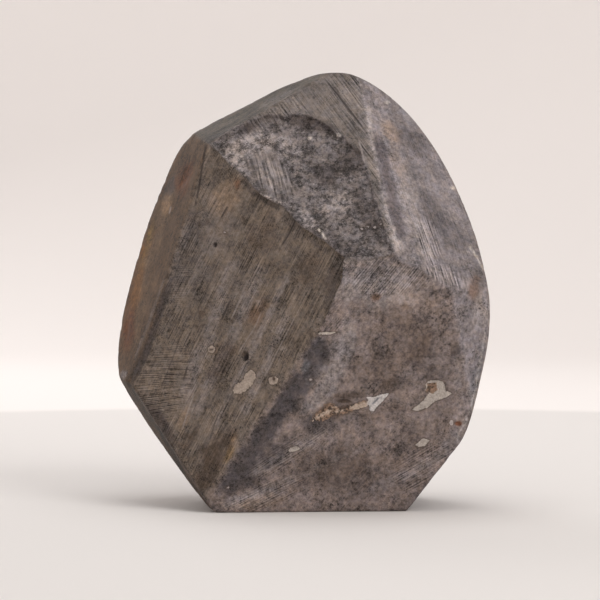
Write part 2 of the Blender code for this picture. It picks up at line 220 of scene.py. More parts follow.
# Bands along a path: face, path, half width, colour, strength, depth
BANDS = [
    # Painted shade: a dark band in the shallow step along the inner edge of the left side face
    ("front", [(-36.0, 103.5), (-39.3, 91.3), (-44.0, 79.4), (-48.4, 67.4), (-52.4, 55.6),
        (-58.6, 42.0)], 1.7, "shade", 0.85, 0.35),
    ("left_side", [(-52.5, 98.0), (-57.0, 84.0), (-60.0, 66.0), (-61.5, 50.0)],
        3.0, "rust", 0.50, 0),
    ("left_side", [(-46.6, 79.3), (-50.9, 67.4), (-54.6, 57.7), (-57.6, 50.1)],
        0.6, "dust", 0.28, 0),
    ("left_side", [(-44.0, 112.0), (-50.0, 94.0), (-55.5, 74.0), (-58.5, 54.0)],
        3.0, "tan", 0.16, 0),
    # Painted highlight on the ridge beside the flute, then painted shade in the flute
    ("upper_right", [(22.1, 139.9), (24.2, 122.0), (26.0, 108.2), (29.1, 96.3), (33.9, 86.3)],
        1.8, "mark", 0.88, 0),
    ("upper_right", [(26.0, 129.0), (27.4, 122.0), (29.9, 112.0), (31.9, 102.0), (34.4, 91.0)],
        2.1, "violet", 0.75, 0),
    ("front", [(57.3, 90.3), (57.8, 88.6), (59.8, 85.9), (62.0, 81.2)], 0.45, "chalk", 0.70, 0.20),
    ("front", [(57.5, 87.6), (56.3, 87.3), (54.6, 87.4)], 0.45, "mark", 0.70, 0.10),
    ("upper_front", [(20.4, 140.0), (21.0, 124.3), (22.0, 111.7)], 1.2, "dust", 0.30, 0),
    ("deep_cut", [(-22.0, 86.0), (-26.0, 76.0), (-31.0, 60.0), (-40.5, 36.0)],
        2.6, "dust", 0.38, 0),
    ("deep_cut", [(-4.0, 68.0), (-12.0, 50.0), (-20.4, 31.0)], 1.6, "dust", 0.34, 0),
    ("deep_cut", [(-13.1, 65.1), (-25.2, 37.5), (-35.0, 16.0)], 1.2, "dust", 0.22, 0),
    # Painted shadow under the ledge of the deep cut, in this band and the next
    ("deep_cut", [(-5.0, 99.0), (2.0, 92.5), (9.0, 87.5)], 1.2, "shade", 0.40, 0),
    ("deep_cut", [(-20.5, 113.0), (-16.5, 107.6), (-11.5, 104.6), (-6.5, 102.0)],
        1.1, "crack", 0.65, 0),
    ("lower_front", [(8.6, 59.0), (2.3, 47.0), (-7.8, 32.8), (-18.4, 17.7), (-28.0, 4.1)],
        4.6, "slate", 1.00, 0),
    ("lower_front", [(-19.0, 12.0), (-8.7, 17.5), (2.0, 24.0), (9.8, 29.5)], 2.0, "dust", 0.60, 0),
    ("lower_front", [(17.0, 66.0), (14.5, 54.0), (8.5, 42.0), (1.0, 32.0)], 3.4, "dust", 0.70, 0),
    ("lower_front", [(18.0, 84.0), (32.0, 85.5), (44.0, 79.0), (58.0, 73.0)],
        0.9, "dust", 0.40, 0),
    ("front", [(62.1, 61.6), (61.0, 53.6), (59.7, 48.1), (58.9, 42.7), (57.2, 34.6), (55.5, 30.5),
        (53.2, 26.8), (52.6, 22.2)], 0.32, "ice", 0.80, 0.10),
    ("front", [(63.5, 76.0), (61.5, 60.0), (59.0, 46.0), (54.5, 31.0), (48.5, 16.0)],
        4.0, "smooth", 0.45, 0),
    # Painted shade along the right rim, where the flank turns away
    ("front", [(63.0, 58.0), (61.0, 46.0), (57.5, 32.0), (54.5, 23.0)], 1.1, "shade", 0.45, 0),
    ("lower_front", [(-28.0, 2.5), (-14.0, 7.0), (4.0, 14.0), (20.0, 22.0)], 1.5, "dust", 0.45, 0),
    ("lower_front", [(22.0, 7.0), (36.0, 12.5), (48.0, 20.0), (57.0, 30.0)], 2.2, "dust", 0.45, 0),
    # Painted highlight along the edge between the deep cut and the lower left face
    ("lower_left", [(-57.8, 41.4), (-43.8, 21.5), (-30.2, 2.0)], 0.5, "dust", 0.25, 0),
    ("deep_cut", [(-38.0, 99.0), (-41.0, 88.0), (-45.0, 76.0)], 1.6, "dust", 0.35, 0),
    ("deep_cut", [(-12.0, 84.0), (-24.0, 57.0), (-37.0, 31.0)], 2.2, "dust", 0.42, 0),
    ("deep_cut", [(-3.0, 82.0), (-12.0, 64.0), (-24.0, 38.0)], 1.2, "dust", 0.35, 0),
    ("far_face", [(-50.0, 96.0), (-20.0, 84.0), (14.0, 62.0), (44.0, 34.0)],
        1.6, "chalk", 0.35, 0),
    ("far_face", [(-42.0, 76.0), (-12.0, 63.0), (20.0, 42.0)], 2.6, "violet", 0.55, 0),
    ("far_face", [(-10.0, 128.0), (18.0, 104.0), (50.0, 78.0)], 3.4, "far_ground", 0.50, 0),
    ("wall", [(64.0, 100.0), (64.0, 70.0), (58.0, 30.0)], 1.0, "chalk", 0.40, 0),
]

# Stains, the later over the earlier: face, x, z, half length, half width, steepness, colour,
# strength
STAINS = [
    ("left_side", -40.6, 112.9, 7.5, 3.0, 70, "rust_red", 0.70),
    ("left_side", -46.0, 110.6, 5.0, 2.0, 70, "slate", 0.60),
    ("left_side", -47.0, 104.0, 3.6, 2.2, 70, "tan", 0.35),
    ("left_side", -53.3, 94.1, 3.6, 1.1, 74, "ochre", 0.85),
    ("left_side", -55.8, 87.1, 3.4, 1.3, 76, "orange", 0.95),
    ("left_side", -57.6, 75.2, 8.8, 2.4, 78, "orange", 0.55),
    ("left_side", -60.0, 59.8, 7.8, 2.6, 84, "rust_red", 0.80),
    ("left_side", -61.5, 44.6, 2.2, 1.5, 60, "dust", 0.80),
    ("left_side", -54.0, 90.0, 10.0, 1.6, 74, "ochre", 0.45),
    ("left_side", -50.0, 66.0, 16.0, 2.4, 70, "umber", 0.30),
    ("left_side", -42.0, 118.0, 8.0, 3.4, 68, "umber", 0.25),
    ("wall", -60.5, 72.0, 20.0, 2.6, 80, "ochre", 0.60),
    ("wall", -56.0, 92.0, 9.0, 1.6, 74, "ochre", 0.60),
    ("wall", -60.5, 58.0, 6.0, 2.0, 84, "rust_red", 0.60),
    ("upper_left", -28.0, 127.5, 5.0, 1.6, 30, "slate", 0.45),
    ("upper_left", -8.0, 140.5, 9.0, 1.6, 28, "dust", 0.25),
    ("lower_left", -50.0, 34.0, 9.0, 2.4, -58, "umber", 0.35),
    ("lower_left", -38.0, 12.0, 8.0, 2.0, -58, "umber", 0.35),
    ("upper_front", -22.0, 121.0, 7.5, 5.0, 30, "mark", 0.60),
    ("upper_front", -14.0, 125.0, 9.0, 5.0, 10, "mark", 0.65),
    ("upper_front", -4.5, 123.0, 4.0, 6.0, 10, "mark", 0.30),
    ("upper_front", -10.0, 113.5, 9.0, 5.0, -48, "mark", 0.50),
    # Painted shadow just under the hammered patch's upper lip, in this stain and the next
    ("upper_front", -19.3, 129.8, 4.5, 1.8, 20, "shade", 0.65),
    ("upper_front", 3.0, 131.5, 13.0, 3.0, -14, "shade", 0.75),
    ("upper_front", 15.0, 118.0, 6.0, 7.5, -60, "shade", 0.55),
    ("upper_front", 8.0, 114.0, 7.0, 4.0, -30, "shade", 0.65),
    ("upper_front", 22.0, 100.0, 12.0, 3.4, -72, "shade", 0.55),
    ("upper_front", 12.0, 91.0, 10.0, 3.0, -30, "shade", 0.45),
    ("upper_front", 12.0, 104.0, 7.0, 3.4, 20, "mark", 0.40),
    ("upper_front", 12.7, 127.7, 1.1, 0.8, 0, "chalk", 0.70),
    ("upper_front", 3.1, 126.6, 0.9, 0.7, 0, "chalk", 0.70),
    ("upper_front", 3.4, 97.6, 3.4, 2.2, -50, "mark", 0.60),
    ("upper_front", 7.4, 93.4, 2.4, 0.5, -60, "chalk", 0.90),
    ("upper_front", 2.0, 100.0, 3.0, 1.6, -40, "mark", 0.60),
    ("upper_front", -10.0, 105.6, 5.0, 1.0, -22, "mark", 0.70),
    ("upper_front", -21.5, 116.6, 5.0, 1.0, -48, "mark", 0.60),
    ("upper_front", 4.0, 146.0, 14.0, 3.0, -12, "sawn", 0.40),
    ("upper_right", 31.2, 129.0, 5.6, 3.4, -68, "tan", 0.36),
    ("upper_right", 33.5, 117.2, 7.5, 2.4, -72, "tan", 0.16),
    ("upper_right", 37.4, 135.9, 6.5, 2.6, -50, "steel", 0.45),
    ("upper_right", 39.0, 126.0, 7.5, 4.2, -40, "slate", 0.60),
    ("upper_right", 45.0, 101.0, 8.0, 4.4, -60, "slate", 0.50),
    ("upper_right", 52.0, 92.0, 7.0, 5.0, -60, "slate", 0.45),
    ("upper_right", 37.0, 106.0, 13.0, 3.4, -78, "mark", 0.35),
    ("upper_right", 41.0, 92.0, 8.0, 3.0, -80, "mark", 0.40),
    ("upper_right", 30.0, 139.6, 1.0, 0.8, 0, "chalk", 0.80),
    ("upper_right", 52.4, 109.6, 0.9, 0.8, 0, "chalk", 0.80),
    ("front", 59.0, 73.5, 6.4, 2.8, 80, "umber", 0.50),
    ("front", 58.0, 75.5, 5.0, 2.2, 74, "rust", 0.40),
    ("deep_cut", -37.0, 86.0, 20.0, 8.0, 74, "stormy", 0.75),
    ("deep_cut", -27.0, 94.0, 8.0, 6.0, 60, "stormy", 0.50),
    ("deep_cut", -21.8, 110.8, 2.2, 1.4, 80, "rust_red", 0.75),
    ("deep_cut", -25.0, 107.0, 8.0, 5.2, 60, "tan", 0.22),
    ("deep_cut", -13.0, 93.0, 9.0, 6.0, 63, "umber", 0.40),
    ("deep_cut", -15.0, 66.5, 5.5, 3.4, 63, "rust", 0.40),
    ("deep_cut", 2.0, 81.0, 8.0, 5.0, 63, "umber", 0.45),
    ("deep_cut", -27.0, 50.0, 9.0, 4.0, 63, "umber", 0.60),
    ("deep_cut", -22.0, 76.0, 9.0, 5.0, 63, "stormy", 0.45),
    ("deep_cut", -24.1, 19.6, 4.0, 1.5, 65, "ochre", 0.55),
    ("deep_cut", -22.8, 25.0, 3.0, 1.6, 65, "tan", 0.50),
    ("deep_cut", -39.2, 31.5, 4.6, 1.8, 68, "tan", 0.24),
    ("deep_cut", -31.0, 15.0, 14.0, 5.0, 60, "umber", 0.75),
    ("deep_cut", -38.5, 23.0, 6.0, 2.4, 55, "umber", 0.50),
    ("deep_cut", -48.4, 30.2, 9.5, 2.8, -54, "shade", 0.85),
    # Painted shadow of the step where the lower front stands over the deep cut
    ("deep_cut", 10.4, 77.0, 10.0, 3.0, 76, "shade", 0.60),
    ("deep_cut", -6.0, 55.5, 1.4, 1.2, 0, "mark", 0.30),
    ("deep_cut", -14.5, 70.5, 1.4, 1.2, 0, "mark", 0.30),
    ("deep_cut", -34.0, 66.5, 1.8, 1.5, 0, "umber", 0.60),
    # Painted shade in the two open pits of the deep cut
    ("deep_cut", -18.8, 52.6, 1.35, 1.85, 0, "crack", 0.95),
    ("deep_cut", -29.3, 90.0, 0.9, 1.1, 0, "crack", 0.95),
    ("lower_front", 1.7, 49.6, 2.4, 1.7, 60, "steel", 0.75),
    ("lower_front", 6.2, 56.6, 3.4, 1.8, 60, "steel", 0.60),
    ("lower_front", 10.4, 52.3, 10.5, 5.0, 60, "dust", 0.55),
    ("lower_front", 22.0, 77.0, 20.0, 8.0, -8, "dust", 0.95),
    ("lower_front", 35.0, 62.0, 13.0, 8.0, -30, "umber", 0.40),
    ("lower_front", 28.0, 50.0, 14.0, 6.0, 10, "umber", 0.42),
    ("lower_front", 41.0, 56.0, 7.0, 3.5, 50, "umber", 0.40),
    ("lower_front", 25.0, 72.5, 2.2, 1.5, 20, "rust", 0.75),
    ("lower_front", 38.0, 71.0, 11.0, 3.6, -18, "tan", 0.14),
    ("lower_front", 52.2, 54.5, 3.0, 2.0, 30, "shade", 0.70),
    ("lower_front", 44.0, 47.0, 6.0, 2.6, -30, "shade", 0.35),
    ("lower_front", 15.0, 39.5, 7.0, 1.6, 8, "umber", 0.75),
    ("lower_front", 30.0, 34.0, 9.0, 2.6, 14, "umber", 0.30),
    ("right_flank", 60.0, 68.0, 8.0, 3.0, 86, "mark", 0.40),
    ("right_flank", 57.5, 40.0, 12.0, 2.0, 74, "steel", 0.35),
    ("lower_front", 52.8, 29.8, 1.5, 1.0, 0, "rust_red", 0.90),
    ("lower_front", 6.0, 54.0, 6.0, 4.4, 62, "slate", 0.90),
    ("lower_front", 6.0, 29.5, 10.0, 4.0, 22, "slate", 0.70),
    ("lower_front", 30.0, 43.0, 7.0, 2.6, 20, "umber", 0.55),
    ("lower_front", -10.0, 20.0, 9.0, 4.0, 40, "slate", 0.60),
    ("lower_front", -19.0, 12.0, 6.0, 4.0, 30, "slate", 0.70),
    ("lower_front", 12.0, 14.0, 17.0, 8.0, 10, "umber", 0.50),
    ("lower_front", 36.0, 22.0, 12.0, 6.0, 60, "umber", 0.30),
    ("lower_front", 26.0, 8.0, 12.0, 4.0, 12, "slate", 0.35),
    ("lower_front", 50.0, 42.0, 14.0, 4.0, 78, "slate", 0.28),
    ("lower_front", -15.0, 4.5, 11.0, 3.6, 14, "dust", 0.75),
    ("lower_front", -14.0, 3.5, 9.0, 2.8, 10, "tan", 0.25),
    ("lower_front", 54.0, 50.0, 12.0, 3.0, 78, "dust", 0.35),
    # Painted shade in the long hollow pit on the lower front
    ("lower_front", 13.9, 37.5, 3.0, 0.8, -4, "umber", 0.85),
    ("far_face", 12.0, 92.0, 8.0, 4.0, 40, "ochre", 0.55),
    ("far_face", -24.0, 58.0, 6.0, 2.6, -30, "rust_red", 0.50),
    ("far_face", 30.0, 40.0, 5.0, 3.0, 10, "umber", 0.50),
    ("far_left", -50.0, 70.0, 12.0, 3.0, 78, "ochre", 0.45),
    ("far_left", -40.0, 100.0, 9.0, 4.0, 60, "slate", 0.45),
    ("far_upper", 4.0, 130.0, 10.0, 4.0, -20, "umber", 0.40),
    ("far_right", 54.0, 66.0, 12.0, 3.0, -76, "rust_red", 0.40),
    ("far_lower", -10.0, 20.0, 12.0, 4.0, 20, "umber", 0.40),
    ("lower_front", 9.5, 34.2, 7.5, 2.6, 14, "rust", 0.42),
]

# Finer saw lines over the main ones: face, x, z, half length, half width, turn of the
# zone, steepness, fineness, bend, strength
CROSS_LINES = [
    ("lower_front", 27.0, 79.5, 19.0, 6.5, -4, 50.0, 1.00, 0.0, 0.62),
    ("lower_front", 11.0, 66.0, 8.0, 5.0, 50, 52.0, 1.00, 0.0, 0.50),
    ("lower_front", -5.0, 20.0, 18.0, 4.4, 30, 33.0, 1.00, 0.0, 0.55),
    ("lower_front", -12.0, 6.0, 16.0, 5.0, 20, 27.0, 1.00, 0.0, 0.55),
    ("lower_front", 42.0, 15.0, 13.0, 8.0, 20, 30.0, 0.90, 0.0, 0.65),
    ("deep_cut", -47.5, 41.0, 18.0, 10.0, 66, 6.0, 1.20, 0.010, 0.95),
    ("deep_cut", -41.4, 76.3, 9.0, 4.5, 70, 2.0, 1.00, 0.0, 0.35),
    ("upper_right", 43.0, 90.5, 10.0, 4.0, -76, -72.0, 0.70, 0.0, 1.10),
    ("upper_right", 48.0, 79.0, 8.0, 4.6, -20, -76.0, 0.50, 0.0, 1.20),
    ("upper_front", -12.0, 134.0, 13.0, 4.0, 32, -54.0, 0.60, 0.0, 0.70),
    ("upper_front", -10.0, 113.5, 11.0, 6.0, -48, -75.0, 0.42, 0.0, 1.00),
]

# Pale mineral fillings, the later over the earlier: face, outline, colour, how crumbly
INLAYS = [
    ("lower_front", [(41.9, 43.3), (42.6, 44.4), (45.7, 44.8), (48.2, 43.7), (48.7, 41.0),
        (50.7, 40.3), (48.5, 38.7), (44.9, 37.4), (42.6, 35.6), (39.5, 34.2), (36.8, 34.7),
        (39.0, 36.0), (40.6, 37.4), (43.1, 40.1), (41.9, 41.5)], "bone", 0.35),
    ("lower_front", [(42.2, 43.6), (45.4, 43.9), (45.8, 41.3), (44.2, 40.0), (42.1, 40.9)],
        "crumble", 1.90),
    ("lower_front", [(4.4, 32.6), (6.7, 34.8), (8.9, 37.1), (10.7, 36.6), (11.6, 35.2),
        (15.2, 35.2), (21.5, 37.9), (22.1, 37.0), (15.6, 33.9), (11.2, 33.0), (6.2, 31.0),
        (4.9, 31.7)], "crumble", 1.60),
    ("lower_front", [(22.1, 39.1), (24.1, 39.0), (29.8, 40.6), (27.7, 37.9), (25.5, 35.7),
        (23.7, 33.4), (22.8, 36.1)], "ice", 0.30),
    ("lower_front", [(15.6, 35.2), (17.9, 36.6), (20.6, 37.2), (22.1, 37.5), (22.1, 36.1),
        (18.8, 34.8)], "blush", 0.60),
    ("lower_front", [(38.2, 22.4), (39.6, 23.7), (41.4, 25.3), (41.8, 24.4), (43.4, 24.4),
        (41.9, 22.4), (40.0, 21.9)], "bone", 0.30),
    ("lower_front", [(-4.3, 21.3), (-3.0, 22.3), (-1.0, 22.6), (-0.3, 21.8), (-1.6, 20.9),
        (-3.7, 20.6)], "bone", 0.20),
    ("lower_front", [(5.6, 60.2), (7.4, 60.0), (9.7, 60.1), (12.2, 61.0), (9.0, 61.0),
        (6.2, 60.9)], "chalk", 0.20),
    ("deep_cut", [(-23.0, 41.4), (-22.3, 42.9), (-19.5, 44.5), (-18.7, 46.6), (-16.9, 48.0),
        (-15.2, 47.1), (-15.2, 45.4), (-16.3, 43.3), (-18.2, 41.2), (-20.8, 39.8),
        (-22.5, 40.2)], "putty", 0.45),
]

# Small spots of mineral: face, x, z, half length, half width, steepness, colour
DROPS = [
    ("lower_front", 25.0, 37.6, 2.3, 0.35, 50, "steel"),
    ("lower_front", 50.6, 30.2, 0.7, 0.9, 0, "mark"),
    ("lower_front", 8.6, 34.0, 2.6, 0.60, 35, "blush"),
    ("lower_front", 12.6, 34.3, 2.4, 0.50, 12, "blush"),
    ("lower_front", 6.2, 32.6, 1.9, 0.50, 30, "blush"),
    ("deep_cut", -25.7, 94.0, 0.7, 0.35, -30, "mark"),
    ("deep_cut", -30.3, 54.6, 1.3, 1.25, 0, "putty"),
    ("deep_cut", -30.3, 54.6, 0.65, 0.60, 0, "umber"),
    ("deep_cut", -9.3, 44.7, 1.6, 1.40, 0, "putty"),
    ("deep_cut", -9.1, 45.0, 0.70, 0.65, 0, "umber"),
    ("upper_front", 6.1, 94.8, 0.8, 0.4, -60, "chalk"),
    ("upper_front", 20.4, 95.4, 0.5, 0.4, 0, "mark"),
    ("upper_front", 22.6, 96.1, 0.5, 0.4, 0, "mark"),
    ("upper_front", 24.8, 95.9, 0.5, 0.4, 0, "mark"),
    ("upper_front", 26.8, 96.9, 0.5, 0.4, 0, "mark"),
    ("lower_front", 3.4, 45.0, 0.6, 0.4, 0, "mark"),
    ("lower_front", -24.6, 8.6, 0.5, 0.4, 0, "mark"),
]

# Scratches and cracks: face, path, half width, pale above 0 and dark below
SCRATCHES = [
    # Painted shadow of the small step along the top of the edge between the left side and the deep
    # cut
    ("front", [(-32.6, 125.5), (-33.8, 118.0), (-34.9, 110.0), (-36.6, 102.0)], 0.38, -0.75),
    ("left_side", [(-45.4, 103.5), (-46.0, 100.7)], 0.3, 0.5),
    ("upper_left", [(-33.0, 124.7), (-30.6, 125.4)], 0.4, -0.9),
    ("upper_right", [(44.0, 81.5), (52.0, 80.5)], 0.20, 0.3),
    ("upper_front", [(8.4, 147.7), (22.0, 129.4)], 0.35, -0.8),
    ("upper_front", [(-4.0, 143.5), (2.0, 136.5)], 0.25, -0.5),
    ("upper_front", [(19.8, 126.0), (21.8, 117.5)], 0.35, 0.6),
    ("deep_cut", [(-36.1, 39.9), (-40.4, 27.4)], 0.30, 0.4),
    ("deep_cut", [(-19.2, 74.4), (-23.6, 64.9)], 0.30, 0.4),
    ("deep_cut", [(-13.1, 67.8), (-15.8, 61.7), (-21.2, 53.6)], 0.25, 0.3),
    ("deep_cut", [(-1.6, 99.1), (-3.7, 94.0), (-6.7, 89.3)], 0.30, -0.8),
    ("deep_cut", [(-24.9, 103.3), (-27.3, 99.2)], 0.35, -0.7),
    ("deep_cut", [(-24.0, 71.0), (-27.1, 64.2)], 0.35, -0.8),
    ("deep_cut", [(-38.5, 48.9), (-40.0, 43.8)], 0.35, -0.7),
    ("deep_cut", [(-2.0, 66.0), (-12.0, 46.0)], 0.20, 0.3),
    ("deep_cut", [(-40.5, 60.0), (-48.0, 40.0)], 0.25, -0.4),
    ("deep_cut", [(-27.5, 34.0), (-31.0, 24.0)], 0.25, -0.5),
    ("deep_cut", [(-28.0, 84.0), (-37.0, 63.0)], 0.25, -0.4),
    ("lower_front", [(-12.0, 14.0), (-3.0, 19.0)], 0.25, 0.3),
    ("lower_front", [(3.0, 58.0), (0.8, 53.4)], 0.35, -0.8),
    ("lower_front", [(36.0, 12.0), (50.0, 20.5)], 0.20, 0.25),
    ("far_face", [(-46.0, 108.0), (-8.0, 100.0)], 0.40, 0.4),
    ("far_face", [(-30.0, 40.0), (12.0, 28.0)], 0.40, -0.6),
    ("far_face", [(10.0, 118.0), (38.0, 96.0)], 0.40, 0.4),
]

# Layers of bumps: height in mm or as a share, width in mm, and seed
GROUND_BUMPS = ((0.06, 9.0, 1), (0.03, 3.1, 2))
CRUMB_BUMPS = ((1.0, 1.5, 5), (0.6, 0.8, 6))
LIP_BUMPS = ((0.2, 1.5, 21),)
GROOVE_BUMPS = ((0.5, 2.2, 31),)
RIM_BUMPS = ((0.35, 2.8, 0), (0.15, 1.2, 1))
RIM_SEEDS = (100, 200, 300)

# Chips along the edges: share, width and seed of their bumps, and where on a bump they start
# and are full
CHIPS = ((1.0, 2.6, 11, 0.1, 0.7), (0.4, 1.1, 12, 0.0, 1.0))

# Grooves of a fan: how far they stray, in spacings, and how that and their depths change from
# one to the next; how long their worn places are for their width; and how much of a groove's
# depth is left, mostly, at least and at most
GROOVE_STRAY, STRAY_STEP = 0.35, 0.73
GROOVE_BEAT = 2.4
GROOVE_STRETCH = 8.0
GROOVE_LEFT, GROOVE_LIMITS = 0.7, (0.15, 1.1)

# Where a mark starts to fade and where it is gone, with its rim at 1, and how much a dent's
# rim wavers
DENT_FADE = (0.3, 1.1)
SUNK_BAND_FADE = (0.3, 1.0)
BAND_FADE = (0.5, 1.1)
STAIN_FADE = (0.45, 1.2)
CROSS_FADE = (0.6, 1.15)
DENT_WOBBLE = 0.7

# Where along a mark its end starts to show and is full, as shares of its length
BAND_ENDS = (0.0, 0.08)
SCRATCH_ENDS = (-0.01, 0.12)

# How far inside the patch's lip its crumb, colour and finish start and are full, in mm
CRUMB_LIP = (-0.2, 0.4)
COLOUR_LIP = (-0.1, 0.3)
FINISH_LIP = (-0.25, 0.5)

# Scratches show up to this far from their path and are full this near, in mm, and waver
SCRATCH_REACH = (1.6, 0.9)
SCRATCH_WOBBLE = 0.3

# Marks on the whole front fade between these depths y, and the relief near the base
# between these heights
FRONT_FADE = (4.0, 2.0)
BASE_FADE = (0.1, 1.4)

# Points this near the stone are moved onto it, and those past the second distance stay, in
# mm; how often they are moved; and the step in mm by which the height's slope is measured
SETTLE_REACH = (0.45, 0.6)
SETTLE_ROUNDS = 3
SLOPE_STEP = 0.02

# The mesh is finer before this depth y, near the ledge and near pits, which have two zones,
# and coarser behind this depth and under this height, in mm. The last number is the factor
# by which the thinning leaves every point outside its group alone
FINE_DEPTH = 8.0
LEDGE_ZONE = 1.2
PIT_ZONES = (2.0, 0.8)
COARSE_DEPTH = 6.0
COARSE_HEIGHT = 0.5
ONLY_THE_GROUP = 100

# Share of a face at which a point touches it, is filled, or mostly lies on it
TOUCHES, HOLDS_FILLING, MOSTLY_ON = 0.02, 0.3, 0.5

# Distance that stands for outside every filling or scratch, and a plain filling's crumb
OUTSIDE = 3.0
PLAIN_CRUMB = 0.3

# Keeps the noise of one face's saw lines apart from the next one's
FACES_APART = 10.0

# What the mesh keeps for its finish: each field, and its three numbers if it is read by them
FIELDS = {
    "tint": (),
    "saw": (),
    "cross_saw": ("cross_place", "cross_way", "cross"),
    "amounts": ("line_amount", "mottling", "speckles"),
    # The third number of wear is the saw grooves' depth, which darkens the colour as painted shade
    "wear": ("patch", "gloss", "groove"),
    "inlay": ("inside", "edge", "crumbly"),
    "inlay_tint": (),
    "scratch": ("scratch", "scratched", "paleness"),
}

# The finish is made of layers: numbers with a name that change over the stone.
# Layers of noise round 0: what they read, how it is stretched, cells in a mm, detail, roughness
EVEN = (1.0, 1.0, 1.0)
NOISES = {
    "clouds": ("place", EVEN, 0.13, 6.0, 0.62),
    "blotches": ("place", EVEN, 0.75, 6.0, 0.72),
    "grain": ("place", EVEN, 2.2, 4.0, 0.7),
    "pepper": ("place", (1.0, 0.7, 1.1), 1.9, 2.0, 0.6),
    "patches": ("place", EVEN, 0.10, 3.0, 0.5),
    "clusters": ("place", EVEN, 0.11, 3.0, 0.6),
    "warmth": ("place", EVEN, 0.35, 5.0, 0.65),
    "lumps": ("place", EVEN, 0.22, 4.0, 0.6),
    "crumbs": ("place", EVEN, 0.60, 5.0, 0.72),
    "chips": ("place", EVEN, 1.3, 5.0, 0.75),
    "streaks": ("saw", (2.1, 0.055, 1.0), 1.0, 5.0, 0.74),
    "hair": ("saw", (4.4, 0.07, 1.0), 1.0, 3.0, 0.6),
    "broad": ("saw", (0.30, 0.03, 1.0), 1.0, 2.0, 0.5),
    "cross_streaks": ("cross_saw", (2.6, 0.07, 0.0), 1.0, 3.0, 0.6),
}

# Layers that ease with another one: from its low and high, to 0 and 1 or to two other values
EASES = {
    "patchy": ("patches", -0.12, 0.12, 0.45, 1.35),
    "clustered": ("clusters", -0.08, 0.14, 0.12, 1.6),
    "fewer_lines": ("cross", 0.0, 1.0, 1.0, 0.25),
    "calmer_crush": ("cross", 0.0, 0.9, 1.0, 0.35),
    "dark_specks": ("pepper", -0.14, -0.01, -0.48, 0.0),
    "pale_specks": ("grain", 0.12, 0.22, 0.0, 0.30),
    "rubbed": ("blotches", -0.1, 0.15, 0.0, 0.25),
    "flecks": ("chips", 0.06, 0.14, 0.0, 0.75),
    "crush_tone": ("crush", -0.16, 0.16, -0.50, 0.45),
    "cold": ("warmth", -0.14, 0.14),
    "filled": ("ragged", -0.08, 0.10),
    "rim": ("ragged", -0.55, -0.10),
    "crumbling": ("crumbly", 0.5, 1.6),
    "holes": ("blotches", 0.02, -0.06),
    "core": ("off_scratch", 0.6, 1.3, 1.0, 0.0),
    "broken": ("blotches", -0.2, 0.0, 0.4, 1.0),
    "pale": ("paleness", -0.1, 0.1),
}

# Layers by one operation on others or on a number
MATHS = {
    "ridges": ('SINE', "ridge_phase"),
    "off_scratch": ('ABSOLUTE', "scratch"),
    "scratch_strength": ('ABSOLUTE', "paleness"),
    "brightness": ('MAXIMUM', "contrast", 0.12),
    "dark_rim": ('MULTIPLY', "rim", 0.55),
}

# Layers that multiply others
PRODUCTS = {
    "mottled": ("mottling", "mottle"),
    "specks": ("speckles", "clustered", "dark_specks"),
    "dusty": ("speckles", "pale_specks"),
    "lines": ("line_amount", "patchy", "fewer_lines"),
    "sawn": ("lines", "saw_tone"),
    "saw_relief": ("lines", "saw_height"),
    "cross_sawn": ("cross", "cross_lines"),
    "worn": ("edge", "rubbed"),
    "patch_crumb": ("calmer_crush", "crumb_tone"),
    "outside_patch": ("light", "unbroken"),
    "in_patch": ("crushed", "patch"),
    "patch_relief": ("patch", "patch_height"),
    "crumbled": ("crumbly", "crumbling_noise"),
    "gaps": ("crumbling", "holes"),
    "drawn": ("scratched", "core", "broken"),
    "marked": ("drawn", "scratch_strength"),
}

# Layers that add up others: a base, and how strongly each of the others counts
SUMS = {
    "mottle": (0.0, {"clouds": 1.6, "blotches": 2.3}),
    "saw_tone": (0.0, {"streaks": 2.6, "hair": 2.2, "broad": 0.8}),
    "saw_height": (0.0, {"streaks": 0.16, "hair": 0.09}),
    "ridge_phase": (0.0, {"cross_place": 8.7, "blotches": 3.0, "clouds": 9.0}),
    "cross_lines": (0.0, {"cross_streaks": 1.0, "ridges": 0.075}),
    "light": (1.03, {
        # Saw grooves are darkened by their depth here as painted shade
        "mottled": 1.0, "specks": 1.0, "dusty": 1.0, "sawn": 1.0, "groove": -0.5, "worn": 1.0,
        "grain": 0.55,
    }),
    "crush": (0.0, {"lumps": 0.6, "crumbs": 1.0, "blotches": 0.4}),
    "crumb_tone": (0.0, {"crush_tone": 1.0, "grain": 1.5, "flecks": 1.0}),
    "crushed": (1.0, {"patch_crumb": 1.0}),
    "unbroken": (1.0, {"patch": -1.0}),
    "all_light": (0.0, {"outside_patch": 1.0, "in_patch": 1.0, "cross_sawn": 3.6}),
    "contrast": (-0.32, {"all_light": 1.32}),
    "crumbling_noise": (0.0, {"blotches": 3.0, "grain": 1.5}),
    "ragged": (0.0, {"inside": 1.0, "crumbled": 1.0}),
    "chalk_light": (1.0, {"grain": 1.4, "blotches": 1.8}),
    "patch_height": (0.0, {"crush": 0.9, "grain": 0.12}),
    "height": (0.0, {
        "saw_relief": 1.0, "cross_sawn": 0.22, "grain": 0.05, "blotches": 0.08,
        "patch_relief": 1.0, "specks": 0.07, "drawn": -0.06, "rim": -0.06, "filled": 0.08,
    }),
}

# What the roughness setting is changed by
ROUGHER = {"gloss": -0.35, "blotches": 0.2, "patch": 0.12, "filled": -0.08}

# Casts between which the stone's colour wanders
WARM_CAST, COLD_CAST = (1.04, 1.0, 0.94), (0.97, 0.99, 1.03)

